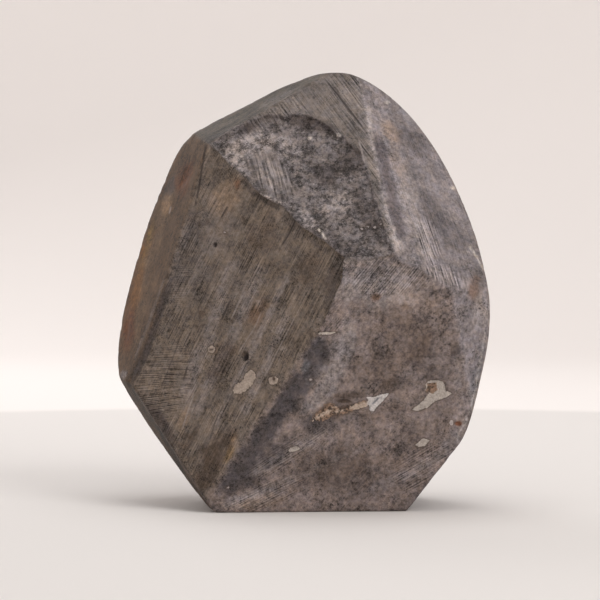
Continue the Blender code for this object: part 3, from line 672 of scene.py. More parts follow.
# Studio lights: name, place and size in metres, setting of the power, tint, aim
STONE_MIDDLE = (0, 0, HEIGHT * M / 2)
LIGHTS = (
    ("key", (0.62, -0.62, 0.75), 0.55, "key_power", (1.0, 0.99, 0.98), STONE_MIDDLE),
    ("top", (0.05, 0.05, 1.1), 0.9, "top_power", (1.0, 0.99, 0.98), STONE_MIDDLE),
    ("back", (-0.5, 0.9, 0.7), 0.6, "back_power", (0.98, 0.99, 1.0), STONE_MIDDLE),
    ("wash", (0.0, 0.45, 1.2), 0.8, "wash_power", (1.0, 0.98, 0.98), (0.0, 1.6, 0.5)),
)
AMBIENT_TINT = (1.0, 0.98, 0.975, 1.0)

# Half the width in metres over which the floor's tone changes, and the stage's gloss
TONE_REACH = 0.015
STAGE_ROUGHNESS, STAGE_SHINE = 0.9, 0.1

# Steps round the backdrop, and degrees in a step of the bend from floor to wall
BACKDROP_STEPS = 96
BEND_STEP = 6

# Turns the noise's cells away from the axes, so that no grid shows
TWIST = np.array(Euler((0.6, 0.9, 0.4)).to_matrix())


def tone(red, green, blue):
    """Linear colour from a tone as a screen shows it, 0 to 255."""
    shares = (np.array((red, green, blue)) / 255 + 0.055) / 1.055
    return tuple(float(share) for share in shares ** 2.4)


def smoothstep(low, high, value):
    """Eases from 0 at low to 1 at high."""
    share = np.clip((value - low) / (high - low), 0.0, 1.0)
    return share * share * (3 - 2 * share)


def within(fade, reach):
    """1 inside a mark, easing to 0 between the two places of its fade."""
    return 1 - smoothstep(*fade, reach)


def between_ends(ends, way):
    """1 along a mark, easing to 0 at both of its ends."""
    start, full = ends
    return smoothstep(start, full, way) * smoothstep(1 - start, 1 - full, way)


def lattice(cells, seed):
    """A repeatable value from 0 to 1 for each whole-number cell, scattered by large primes."""
    x, y, z = (cells[:, axis].astype(np.uint32) for axis in range(3))
    mixed = x * np.uint32(73856093) ^ y * np.uint32(19349663) ^ z * np.uint32(83492791)
    mixed = (mixed ^ np.uint32(seed * 7919 + 13)) * np.uint32(2654435761)
    mixed = (mixed ^ (mixed >> np.uint32(15))) * np.uint32(1274126177)
    return ((mixed ^ (mixed >> np.uint32(13))) & np.uint32(0xFFFF)) / 65535.0


def bumps(points, size, seed):
    """Smooth noise from -1 to 1 with bumps about size mm wide."""
    scaled = points @ TWIST / size
    cells = np.floor(scaled).astype(np.int64)
    part = scaled - cells
    part = part * part * (3 - 2 * part)
    total = np.zeros(len(points))
    for corner in itertools.product((0, 1), repeat=3):
        weight = np.prod(np.where(corner, part, 1 - part), axis=1)
        total += weight * lattice(cells + np.array(corner), seed)
    return 2 * total - 1


def layered(points, layers, seed=0):
    """Bumps of several widths, added up."""
    return sum(height * bumps(points, width, seed + own) for height, width, own in layers)


def direction(face):
    """Outward unit normal of a face."""
    compass, tilt, _ = FACES[face]
    turn, rise = math.radians(compass), math.radians(tilt)
    return np.array((
        math.sin(turn) * math.cos(rise), -math.cos(turn) * math.cos(rise), math.sin(rise),
    ))


def height_over(face, points):
    """Height of points over a face's plane."""
    return (points - CENTRE) @ direction(face) - FACES[face][2]


def on_face(face, x, z):
    """The point of a face's plane over (x, z)."""
    normal = direction(face)
    y = (FACES[face][2] - normal[0] * x - normal[2] * (z - CENTRE[2])) / normal[1]
    return np.array((x, y, z))


def saw_axes(face, steepness):
    """Unit vectors in a face across its saw lines and along them."""
    slope = math.radians(steepness)
    normal = direction(face)
    along = np.array((math.cos(slope), 0.0, math.sin(slope)))
    along[1] = -(along @ normal) / normal[1]
    along /= np.linalg.norm(along)
    return np.cross(normal, along), along


def ring_depth(spots, ring):
    """How far each flat spot lies inside a closed ring; below 0 outside it."""
    ring = np.array(ring)
    nearest = np.full(len(spots), np.inf)
    inside = np.zeros(len(spots), bool)
    for here, there in zip(ring, np.roll(ring, -1, axis=0)):
        edge = there - here
        reach = spots - here
        share = np.clip(reach @ edge / (edge @ edge), 0, 1)
        nearest = np.minimum(nearest, np.linalg.norm(reach - share[:, None] * edge, axis=1))
        if edge[1] != 0:
            crosses = (here[1] > spots[:, 1]) != (there[1] > spots[:, 1])
            at = here[0] + (spots[:, 1] - here[1]) * edge[0] / edge[1]
            inside ^= crosses & (spots[:, 0] < at)
    return np.where(inside, nearest, -nearest)


def path_offset(spots, path):
    """Distance from an open path with the side as its sign, and the share of the way along."""
    path = np.array(path)
    lengths = np.linalg.norm(np.diff(path, axis=0), axis=1)
    before = np.concatenate(([0.0], np.cumsum(lengths)))
    nearest = np.full(len(spots), np.inf)
    offset = np.zeros(len(spots))
    way = np.zeros(len(spots))
    for index, (here, there) in enumerate(zip(path, path[1:])):
        edge = there - here
        reach = spots - here
        share = np.clip(reach @ edge / (edge @ edge), 0, 1)
        distance = np.linalg.norm(reach - share[:, None] * edge, axis=1)
        side = np.sign(edge[0] * reach[:, 1] - edge[1] * reach[:, 0])
        closer = distance < nearest
        nearest = np.where(closer, distance, nearest)
        offset = np.where(closer, distance * side, offset)
        way = np.where(closer, (before[index] + share * lengths[index]) / before[-1], way)
    return offset, way


def smooth_ring(knots, steps):
    """A closed Catmull-Rom curve through the knots, with some steps between each two."""
    points = np.array(knots, float)
    curve = []
    for index in range(len(points)):
        before, start, end, after = (points[(index + k - 1) % len(points)] for k in range(4))
        for t in np.arange(steps) / steps:
            curve.append(0.5 * (
                2 * start
                + (end - before) * t
                + (2 * before - 5 * start + 4 * end - after) * t ** 2
                + (3 * start - before - 3 * end + after) * t ** 3
            ))
    return np.array(curve)


def outline_radius():
    """Angles round the centre and the outline's distance at each, in rising order."""
    curve = smooth_ring(OUTLINE, OUTLINE_STEPS) - CENTRE[[0, 2]]
    angles = np.arctan2(curve[:, 1], curve[:, 0])
    order = np.argsort(angles)
    return angles[order], np.linalg.norm(curve, axis=1)[order]


OUTLINE_ANGLES, OUTLINE_RADII = outline_radius()


def wall_height(points):
    """Height over the uncut stone's rounded wall."""
    from_centre = points - CENTRE
    x, y, z = from_centre.T
    radius = np.interp(np.arctan2(z, x), OUTLINE_ANGLES, OUTLINE_RADII, period=2 * math.pi)
    fullness = np.where(y < 0, FRONT_FULLNESS, BACK_FULLNESS)
    reach = np.where(y < 0, FRONT_REACH, BACK_REACH)
    ratio = (np.hypot(x, z) / radius) ** fullness + (np.abs(y) / reach) ** fullness
    scale = ratio ** (1 / fullness)
    return np.linalg.norm(from_centre, axis=1) * (scale - 1) / scale


def flute_height(points):
    """Depth of points inside the wheel that ground the flute."""
    normal = direction("upper_right")
    top = on_face("upper_right", *FLUTE_TOP) + normal * FLUTE_RADIUS
    foot = on_face("upper_right", *FLUTE_FOOT) + normal * (FLUTE_RADIUS - FLUTE_DEPTH)
    along = (foot - top) / np.linalg.norm(foot - top)
    reach = points - top
    reach = reach - (reach @ along)[:, None] * along
    return FLUTE_RADIUS - np.linalg.norm(reach, axis=1)


def front_of(x, z):
    """The point of the front faces over (x, z)."""
    return max(
        (on_face(face, x, z) for face in ("lower_front", "upper_front")),
        key=lambda point: point[1],
    )


def deep_side(points):
    """How far points lie inside the ledge of the deep cut; below 0 outside it."""
    normal = direction("deep_cut")
    rim = np.array([front_of(x, z) for x, z in LEDGE])
    rim -= height_over("deep_cut", rim)[:, None] * normal
    flat = points - height_over("deep_cut", points)[:, None] * normal
    return ring_depth(flat[:, [0, 2]], rim[:, [0, 2]])


def heights_of(points, in_deep_cut):
    """Height of points over each face, the wall, the flute, the base and the top, as rows."""
    rows = [
        np.where(in_deep_cut, height_over(face, points), FAR_AWAY)
        if face == "deep_cut" else height_over(face, points)
        for face in FACES
    ]
    rows += [wall_height(points), flute_height(points), -points[:, 2], points[:, 2] - HEIGHT]
    return np.array(rows)


def soft_top(rows, softness):
    """The highest of some rows, eased over where two are close."""
    top = rows.max(axis=0)
    return top + softness * np.log(np.exp((rows - top) / softness).sum(axis=0))


def stone_height(points, in_deep_cut, softness):
    """Height over the whole stone, with its edges rounded by about softness."""
    rows = heights_of(points, in_deep_cut)
    front, flank = ROW_NAMES.index("lower_front"), ROW_NAMES.index("right_flank")
    rows[front] = soft_top(rows[[front, flank]], FLANK_SOFTNESS)
    rows[flank] = FAR_AWAY
    return soft_top(rows, softness)


def slope_of(points, in_deep_cut, softness):
    """Height over the stone and the outward slope of that height."""
    here = stone_height(points, in_deep_cut, softness)
    slope = np.empty_like(points)
    for axis in range(3):
        ahead = points.copy()
        ahead[:, axis] += SLOPE_STEP
        slope[:, axis] = (stone_height(ahead, in_deep_cut, softness) - here) / SLOPE_STEP
    return here, slope


def settle(points, in_deep_cut, softness):
    """Moves points that are close to the stone's faces onto them; gives outward normals too."""
    points = points.copy()
    slope = None
    for _ in range(SETTLE_ROUNDS):
        height, slope = slope_of(points, in_deep_cut, softness)
        held = within(SETTLE_REACH, np.abs(height))
        points -= slope * (held * height / (slope ** 2).sum(axis=1))[:, None]
    return points, slope / np.linalg.norm(slope, axis=1)[:, None]


class Lay:
    """Where each point of the skin lies on the stone, and which way is out."""

    def __init__(self, points, softness):
        self.deep = deep_side(points)
        self.points, self.out = settle(points, self.deep > 0, softness)
        self.front = self.points[:, [0, 2]]
        rows = heights_of(self.points, self.deep > 0)
        upper = ROW_NAMES.index("upper_front")
        lip = ring_depth(self.front, PATCH_LIP)
        self.lip = np.where(rows[upper] > -2 * PATCH_DEPTH, lip, np.minimum(lip, FAR_AWAY))
        rows[upper] += np.where(self.lip > 0, PATCH_DEPTH, 0.0)
        share = np.exp((rows - rows.max(axis=0)) / FACE_BLEND)
        share /= share.sum(axis=0)
        self.share = dict(zip(ROW_NAMES, share))
        self.share["upper_right"] = self.share["upper_right"] + self.share.pop("flute")
        self.share["wall"] = self.share["wall"] + self.share.pop("top")
        ranked = np.sort(rows, axis=0)
        self.edge = np.exp((ranked[-2] - ranked[-1]) / EDGE_REACH)
        self.main = np.array(list(self.share.values())).argmax(axis=0)
        self.names = list(self.share)
        self.wobbles = [layered(self.points, RIM_BUMPS, seed) for seed in RIM_SEEDS]

    def wobble(self, index):
        """How ragged the rim of a mark is at each point; every third mark's is alike."""
        return self.wobbles[index % len(self.wobbles)]

    def on(self, face):
        """How much each point belongs to a face, or to the whole front, 0 to 1."""
        if face == "front":
            return smoothstep(*FRONT_FADE, self.points[:, 1])
        return self.share[face]


def oval(spots, x, z, half_long, half_wide, steepness):
    """Reach of flat spots from an oval's middle: 1 on the oval's rim."""
    turn = math.radians(steepness)
    reach = spots - np.array((x, z))
    long = reach @ np.array((math.cos(turn), math.sin(turn)))
    wide = reach @ np.array((-math.sin(turn), math.cos(turn)))
    return np.hypot(long / half_long, wide / half_wide)


def groove_depth(lay, face, middle, count, spacing, steepness, depths, width):
    """Depth of a fan of V grooves, each a little deeper or shallower."""
    across, along = saw_axes(face, steepness)
    reach = lay.points - on_face(face, *middle)
    place, way = reach @ across, reach @ along
    shallow, deep = depths
    depth = np.zeros(len(place))
    for index in range(count):
        stray = GROOVE_STRAY * noise.noise(Vector((index * STRAY_STEP, steepness, 0.5)))
        offset = (index - (count - 1) / 2 + stray) * spacing
        deepest = shallow + (deep - shallow) * (0.5 + 0.5 * math.sin(index * GROOVE_BEAT))
        depth = np.maximum(depth, deepest * (1 - np.abs(place - offset) / (width / 2)))
    spots = np.stack((place, way / GROOVE_STRETCH, np.zeros(len(place))), axis=1)
    return depth * np.clip(GROOVE_LEFT + layered(spots, GROOVE_BUMPS), *GROOVE_LIMITS)


def pit_depth(lay):
    """Depth of the open pits."""
    depth = np.zeros(len(lay.points))
    for face, x, z, half_wide, half_high, deepest in PITS:
        reach = oval(lay.front, x, z, half_wide, half_high, 0)
        bowl = deepest * np.sqrt(np.clip(1 - reach ** 2, 0, 1))
        depth = np.maximum(depth, bowl * (lay.on(face) > MOSTLY_ON))
    return depth


def relief(lay, shape):
    """How deep each point lies under its face, in mm."""
    points = lay.points
    depth = layered(points, GROUND_BUMPS)
    plain = lay.lip < 0
    for fan in GROOVE_FANS:
        depth += groove_depth(lay, *fan) * lay.on(fan[0]) * plain * shape.groove_depth
    hacked = smoothstep(*CRUMB_LIP, lay.lip) * lay.on("upper_front")
    crushed = layered(points, CRUMB_BUMPS)
    depth += hacked * crushed * shape.patch_roughness / M
    for face, x, z, half_long, half_wide, steepness, deepest, rough in DENTS:
        reach = oval(lay.front, x, z, half_long, half_wide, steepness)
        reach += DENT_WOBBLE * lay.wobbles[0]
        depth += within(DENT_FADE, reach) * lay.on(face) * (deepest + rough * crushed)
    for face, path, half_width, _, _, deepest in BANDS:
        if deepest:
            offset, _ = path_offset(lay.front, path)
            sunk = within(SUNK_BAND_FADE, np.abs(offset) / half_width)
            depth += lay.on(face) * deepest * sunk
    chipped = sum(
        share * smoothstep(start, full, bumps(points, width, seed))
        for share, width, seed, start, full in CHIPS
    )
    depth += lay.edge * chipped * shape.edge_wear / M
    depth += pit_depth(lay)
    return depth * smoothstep(*BASE_FADE, points[:, 2])


def read_points(mesh):
    """A mesh's points in mm."""
    values = np.empty(len(mesh.vertices) * 3)
    mesh.vertices.foreach_get("co", values)
    return values.reshape(-1, 3) / M


def write_points(mesh, points):
    """Moves a mesh's points to places given in mm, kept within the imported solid's box."""
    mesh.vertices.foreach_set("co", (points.clip(STONE_LOW, STONE_HIGH) * M).ravel())
    mesh.update()


def as_object(name, mesh):
    """A new object in the scene that holds a mesh."""
    thing = bpy.data.objects.new(name, mesh)
    bpy.context.scene.collection.objects.link(thing)
    return thing


def evaluated(thing):
    """A new mesh of an object with its modifiers applied, in place of the object."""
    graph = bpy.context.evaluated_depsgraph_get()
    mesh = bpy.data.meshes.new_from_object(thing.evaluated_get(graph))
    old = thing.data
    bpy.data.objects.remove(thing)
    bpy.data.meshes.remove(old)
    return mesh


def even_mesh(spacing):
    """A closed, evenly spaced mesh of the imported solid."""
    thing = as_object("stone_start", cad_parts["amethyst_stone"].data.copy())
    weld = thing.modifiers.new("weld", 'WELD')
    weld.merge_threshold = WELD
    remesh = thing.modifiers.new("remesh", 'REMESH')
    remesh.mode = 'VOXEL'
    remesh.voxel_size = spacing
    return evaluated(thing)


def thin_far_side(mesh, lay, keep):
    """Fewer faces where the stone is plain: behind, and under its base."""
    behind = np.isin(lay.main, [lay.names.index(name) for name in FAR_ROWS])
    plain = (behind & (lay.points[:, 1] > COARSE_DEPTH)) | (lay.points[:, 2] < COARSE_HEIGHT)
    thing = as_object("stone_thinned", mesh)
    far = thing.vertex_groups.new(name="far")
    far.add(np.flatnonzero(plain).tolist(), 1.0, 'REPLACE')
    thin = thing.modifiers.new("thin", 'DECIMATE')
    thin.ratio = keep
    thin.vertex_group = "far"
    thin.vertex_group_factor = ONLY_THE_GROUP
    return evaluated(thing)


def refine(mesh, marked):
    """Makes the mesh twice as fine where both ends of an edge are marked."""
    bm = bmesh.new()
    bm.from_mesh(mesh)
    bm.verts.ensure_lookup_table()
    edges = [edge for edge in bm.edges if all(marked[vert.index] for vert in edge.verts)]
    bmesh.ops.subdivide_edges(bm, edges=edges, cuts=1, use_grid_fill=True)
    bmesh.ops.triangulate(bm, faces=[face for face in bm.faces if len(face.verts) > 4])
    bm.to_mesh(mesh)
    bm.free()


def near_pit(lay, reach):
    """Which points lie in a pit or within reach of one, in mm."""
    close = np.zeros(len(lay.points), bool)
    for face, x, z, half_wide, half_high, _ in PITS:
        oval_reach = oval(lay.front, x, z, half_wide + reach, half_high + reach, 0)
        close |= (oval_reach < 1) & (lay.on(face) > MOSTLY_ON)
    return close


def skin_mesh(shape):
    """The stone's fine closed mesh, and how its points lie."""
    softness = shape.edge_softness / M
    mesh = even_mesh(shape.spacing)
    lay = Lay(read_points(mesh), softness)
    write_points(mesh, lay.points)
    mesh = thin_far_side(mesh, lay, shape.far_share)

    lay = Lay(read_points(mesh), softness)
    wide, narrow = PIT_ZONES
    in_front = lay.points[:, 1] < FINE_DEPTH
    broken = (lay.on("upper_front") > TOUCHES) | (np.abs(lay.deep) < LEDGE_ZONE)
    refine(mesh, in_front & (broken | near_pit(lay, wide)))
    lay = Lay(read_points(mesh), softness)
    write_points(mesh, lay.points)
    refine(mesh, near_pit(lay, narrow))
    lay = Lay(read_points(mesh), softness)
    write_points(mesh, lay.points - lay.out * relief(lay, shape)[:, None])
    mesh.polygons.foreach_set("use_smooth", np.ones(len(mesh.polygons), bool))
    return mesh, lay


def add_field(mesh, name, values):
    """Keeps three numbers a point on the mesh, for the finish to read."""
    field = mesh.attributes.new(name, 'FLOAT_VECTOR', 'POINT')
    field.data.foreach_set("vector", np.ascontiguousarray(values, np.float32).ravel())


def blend(under, over, share):
    """Mixes one colour into a field of colours."""
    return under + (np.asarray(over) - under) * share[:, None]


def stone_tint(lay, colours):
    """The stone's colour at each point, with its stains and bands."""
    points = lay.points
    tint = np.zeros_like(points)
    for face, finish in FINISHES.items():
        tint += np.asarray(getattr(colours, finish.colour)) * lay.on(face)[:, None]
    hacked = smoothstep(*COLOUR_LIP, lay.lip + layered(points, LIP_BUMPS))
    tint = blend(tint, colours.crushed, hacked * lay.on("upper_front"))
    for index, (face, path, half_width, colour, strength, _) in enumerate(BANDS):
        offset, way = path_offset(lay.front, path)
        ragged = np.abs(offset) / half_width + lay.wobble(index)
        shown = within(BAND_FADE, ragged) * between_ends(BAND_ENDS, way) * strength
        tint = blend(tint, getattr(colours, colour), shown * lay.on(face))
    for index, (face, *shape, colour, strength) in enumerate(STAINS):
        ragged = oval(lay.front, *shape) + lay.wobble(index)
        shown = within(STAIN_FADE, ragged) * strength
        tint = blend(tint, getattr(colours, colour), shown * lay.on(face))
    return tint


def saw_field(lay):
    """Place across and along each face's own saw lines, and a number that parts the faces."""
    field = np.zeros_like(lay.points)
    for index, name in enumerate(lay.names):
        here = lay.main == index
        if name in FACES:
            across, along = saw_axes(name, FINISHES[name].steepness)
            field[here, 0] = lay.points[here] @ across
            field[here, 1] = lay.points[here] @ along
        else:
            field[here, 0] = lay.points[here, 2]
            field[here, 1] = lay.points[here, 0]
        field[here, 2] = FACES_APART * index
    return field


def cross_field(lay):
    """Place across and along a second set of saw lines, and how strong they show."""
    field = np.zeros_like(lay.points)
    for face, *shape, steepness, fineness, bend, strength in CROSS_LINES:
        x, z, *_ = shape
        across, along = saw_axes(face, steepness)
        reach = lay.points - on_face(face, x, z)
        place, way = reach @ across, reach @ along
        place = fineness * (place + bend * place * way)
        share = strength * lay.on(face) * within(CROSS_FADE, oval(lay.front, *shape))
        stronger = share > field[:, 2]
        field[stronger] = np.stack((place, way, share), axis=1)[stronger]
    return field


def finish_amount(lay, name):
    """A number of the faces' finishes, blended over the faces."""
    return sum(getattr(finish, name) * lay.on(face) for face, finish in FINISHES.items())


def fillings(lay):
    """Each filling's face, how far points lie inside it, its colour and how crumbly it is."""
    for face, ring, colour, crumbliness in INLAYS:
        yield face, ring_depth(lay.front, ring), colour, crumbliness
    for face, x, z, half_long, half_wide, steepness, colour in DROPS:
        reach = oval(lay.front, x, z, half_long, half_wide, steepness)
        yield face, (1 - reach) * half_wide, colour, None


def inlay_fields(lay, colours):
    """How far points lie inside a filling, their edge wear and crumb, and the filling's colour."""
    depth = np.full(len(lay.points), -OUTSIDE)
    tint = np.zeros_like(lay.points) + np.asarray(colours.chalk)
    crumbly = np.full(len(lay.points), PLAIN_CRUMB)
    for face, inside, colour, crumbliness in fillings(lay):
        inside = np.where(lay.on(face) > HOLDS_FILLING, inside, -OUTSIDE)
        near = (inside > depth) | (inside > 0)
        tint[near] = getattr(colours, colour)
        if crumbliness is not None:
            crumbly[near] = crumbliness
        depth = np.maximum(depth, inside)
    return np.stack((depth, lay.edge, crumbly), axis=1), tint


def scratch_field(lay):
    """Offset from the nearest scratch, how much of it shows, and how pale it is."""
    field = np.zeros_like(lay.points)
    nearest = np.full(len(lay.points), OUTSIDE)
    for face, path, half_width, paleness in SCRATCHES:
        offset, way = path_offset(lay.front, path)
        offset = offset + SCRATCH_WOBBLE * lay.wobbles[1]
        shown = smoothstep(*SCRATCH_REACH, np.abs(offset)) * lay.on(face)
        shown = shown * between_ends(SCRATCH_ENDS, way)
        closer = (np.abs(offset) < nearest) & (shown > 0)
        nearest = np.where(closer, np.abs(offset), nearest)
        made = np.stack((offset / half_width, shown, np.full(len(shown), paleness)), axis=1)
        field[closer] = made[closer]
    return field


class Nodes:
    """Adds nodes to a material and joins them up. A name stands for the layer it names."""

    def __init__(self, material):
        self.tree = material.node_tree
        self.layers = {}
        where = self.add('ShaderNodeTexCoord').outputs["Object"]
        self.layers["place"] = self.scaled(where, 1 / M)

    def __getitem__(self, name):
        """A layer, which is made from its row in the tables when it is first read."""
        if name not in self.layers:
            make, table = next(pair for pair in self.recipes() if name in pair[1])
            self.layers[name] = make(*table[name])
        return self.layers[name]

    def recipes(self):
        """How the layers of each table are made."""
        return (
            (self.noise, NOISES), (self.ease, EASES), (self.maths, MATHS),
            (self.product, PRODUCTS), (self.total, SUMS),
        )

    def add(self, kind, inputs=None, **settings):
        """A new node with its settings, values and links."""
        node = self.tree.nodes.new(kind)
        for name, value in settings.items():
            setattr(node, name, value)
        for key, value in (inputs or {}).items():
            if isinstance(value, str):
                value = self[value]
            if isinstance(value, bpy.types.NodeSocket):
                self.tree.links.new(value, node.inputs[key])
            else:
                node.inputs[key].default_value = value
        return node

    def field(self, name, numbers):
        """Keeps a field of the mesh as a layer, and its numbers too if they have names."""
        self.layers[name] = self.add('ShaderNodeAttribute', attribute_name=name).outputs["Vector"]
        if numbers:
            parts = self.add('ShaderNodeSeparateXYZ', {0: name})
            self.layers.update(zip(numbers, parts.outputs))

    def maths(self, operation, *values):
        """One operation on numbers."""
        return self.add('ShaderNodeMath', dict(enumerate(values)), operation=operation).outputs[0]

    def product(self, first, *others):
        """Numbers multiplied, from the left."""
        result = first
        for value in others:
            result = self.maths('MULTIPLY', result, value)
        return result

    def total(self, base, weights):
        """A base and some layers added up, each layer times its weight."""
        result = base
        for name, weight in weights.items():
            part = name if weight == 1 else self.product(name, weight)
            result = self.maths('ADD', result, part)
        return result

    def scaled(self, vector, factor):
        """A place or a colour times a number."""
        node = self.add('ShaderNodeVectorMath', {0: vector, "Scale": factor}, operation='SCALE')
        return node.outputs[0]

    def stretched(self, vector, factors):
        """A place or a colour times a number for each of its parts."""
        node = self.add('ShaderNodeVectorMath', {0: vector, 1: factors}, operation='MULTIPLY')
        return node.outputs[0]

    def noise(self, vector, stretch, scale, detail, roughness):
        """Noise round 0, about half a unit each way."""
        values = {"Scale": scale, "Detail": detail, "Roughness": roughness}
        values["Vector"] = self.stretched(vector, stretch)
        node = self.add('ShaderNodeTexNoise', values)
        return self.maths('SUBTRACT', node.outputs["Fac"], 0.5)

    def ease(self, value, low, high, start=0.0, end=1.0):
        """Eases from start to end while the value goes from low to high."""
        values = {"Value": value, "From Min": low, "From Max": high}
        values.update({"To Min": start, "To Max": end})
        node = self.add('ShaderNodeMapRange', values, interpolation_type='SMOOTHSTEP')
        return node.outputs["Result"]

    def mix(self, share, under, over):
        """One colour mixed into another."""
        values = {"Factor": share, 6: under, 7: over}
        return self.add('ShaderNodeMix', values, data_type='RGBA').outputs[2]


def new_material(name):
    """A new material with its nodes' helper and its shader."""
    material = bpy.data.materials.new(name)
    material.use_nodes = True
    return material, Nodes(material), material.node_tree.nodes["Principled BSDF"]


def stone_material(finish, colours):
    """Sawn and ground stone: mottled, streaked by the saw, crushed in the patch."""
    material, nodes, shader = new_material("sawn_stone")
    for name, numbers in FIELDS.items():
        nodes.field(name, numbers)
    umber, crack, mark = ((*shown, 1) for shown in (colours.umber, colours.crack, colours.mark))

    shaded = nodes.scaled("tint", "brightness")
    colour = nodes.mix(
        "cold", nodes.stretched(shaded, WARM_CAST), nodes.stretched(shaded, COLD_CAST),
    )
    colour = nodes.mix("dark_rim", colour, umber)
    filling = nodes.mix("gaps", nodes.scaled("inlay_tint", "chalk_light"), umber)
    colour = nodes.mix("filled", colour, filling)
    colour = nodes.mix("marked", colour, nodes.mix("pale", crack, mark))
    rough = nodes.total(finish.roughness, ROUGHER)
    relief_inputs = {"Height": "height", "Distance": M, "Strength": finish.bump}
    bump = nodes.add('ShaderNodeBump', relief_inputs)

    links = material.node_tree.links
    links.new(colour, shader.inputs["Base Color"])
    links.new(rough, shader.inputs["Roughness"])
    links.new(bump.outputs[0], shader.inputs["Normal"])
    shader.inputs["Specular IOR Level"].default_value = finish.shine
    return material


def colour(name, description, *shown):
    """A colour property whose default is a tone as a screen shows it."""
    return bpy.props.FloatVectorProperty(
        name=name, description=description, subtype='COLOR', size=3, min=0.0, max=1.0,
        default=tone(*shown),
    )


def length(name, description, default):
    """A length property in metres."""
    return bpy.props.FloatProperty(
        name=name, description=description, unit='LENGTH', min=0.0, default=default, precision=5,
    )


def factor(name, description, default, top=1.0):
    """A share property."""
    return bpy.props.FloatProperty(
        name=name, description=description, subtype='FACTOR', min=0.0, max=top, default=default,
    )


class StoneShape(bpy.types.PropertyGroup):
    """Sizes of the stone's fine skin."""

    spacing: length("Mesh spacing", "Distance between the skin's points", 0.795 * M)
    far_share: factor("Far side detail", "Share of the faces kept behind and below", 0.4)
    edge_softness: length("Edge softness", "How round the ground edges are", 0.22 * M)
    groove_depth: factor("Groove depth", "Depth of the saw grooves against the source", 0.6, 3.0)
    patch_roughness: length("Patch roughness", "Height of the hammered patch's bumps", 0.20 * M)
    edge_wear: length("Edge wear", "Depth of the chips along the edges", 0.28 * M)


class StoneColours(bpy.types.PropertyGroup):
    """Colours of the stone's faces, stains and minerals."""

    lilac: colour("Lower front", "Ground face low on the front", 125, 113, 109)
    flank: colour("Right flank", "Ground flank at the right", 131, 124, 126)
    sawn: colour("Upper front", "Sawn face at the top", 118, 110, 106)
    crushed: colour("Crushed patch", "Hammered patch", 118, 111, 110)
    smooth: colour("Upper right", "Smooth pale face at the right", 130, 122, 123)
    deep: colour("Deep cut", "Brown-grey sawn face", 110, 99, 90)
    side: colour("Left side", "Ground face at the left", 91, 73, 58)
    sliver: colour("Upper left", "Narrow face at the upper left", 83, 75, 68)
    # Brown of the face, made darker as painted shade because it faces down
    under_left: colour("Lower left", "Face that leans in at the left", 60, 46, 34)
    wall: colour("Rim", "Uncut rim of the stone", 96, 86, 80)
    quartz: colour("Dark quartz", "Violet-grey quartz, low at the right and behind", 66, 58, 66)
    far_ground: colour("Far ground", "Ground faces behind", 100, 92, 88)
    rust_red: colour("Rust red", "Red-brown stain", 104, 66, 46)
    ochre: colour("Ochre", "Yellow-brown stain", 122, 97, 58)
    orange: colour("Orange", "Orange stain", 122, 84, 44)
    crumble: colour("Crumble", "Warm brown of the crumbly vein", 140, 115, 97)
    rust: colour("Rust", "Orange-brown stain", 110, 78, 52)
    # Dark brown stains, and also the painted shade in the long pit on the lower front
    umber: colour("Umber", "Dark brown stain", 74, 60, 50)
    slate: colour("Slate", "Blue-grey stain", 77, 71, 72)
    stormy: colour("Stormy", "Grey cast on the deep cut", 112, 103, 98)
    steel: colour("Steel", "Pale blue-grey spot", 116, 117, 123)
    # Pale dust, and also the painted highlight along the edge between the deep cut and the lower
    # left face
    dust: colour("Dust", "Pale dust of crushed stone", 141, 133, 132)
    # Pale scratches and bruises, and also the painted highlight on the ridge beside the flute
    mark: colour("Mark", "Pale scratches and bruises", 170, 160, 157)
    chalk: colour("Chalk", "White mineral", 200, 190, 181)
    bone: colour("Bone", "Grey-white mineral", 175, 166, 158)
    putty: colour("Putty", "Grey mineral in the deep cut", 166, 152, 140)
    ice: colour("Ice", "Palest grey mineral", 196, 190, 188)
    blush: colour("Blush", "Pale tan mineral", 179, 161, 146)
    tan: colour("Tan", "Tan stain", 160, 132, 104)
    # Violet-grey colour band behind, and also the painted shade in the flute
    violet: colour("Violet", "Violet-grey band", 92, 84, 87)
    # Painted shade in steps, under ledges and along the right rim, and also dark brown-grey stains
    shade: colour("Shade", "Dark brown-grey band", 70, 62, 60)
    # Dark cracks and scratches, and also painted shade in the pits and under the deep cut's ledge
    crack: colour("Crack", "Open cracks and pits", 50, 44, 44)


class StoneFinish(bpy.types.PropertyGroup):
    """Gloss and fine relief of the stone."""

    roughness: factor("Roughness", "Roughness of the ground stone", 0.62)
    shine: factor("Shine", "Specular level of the stone", 0.26)
    bump: factor("Fine relief", "Strength of the relief too fine for the mesh", 1.0)


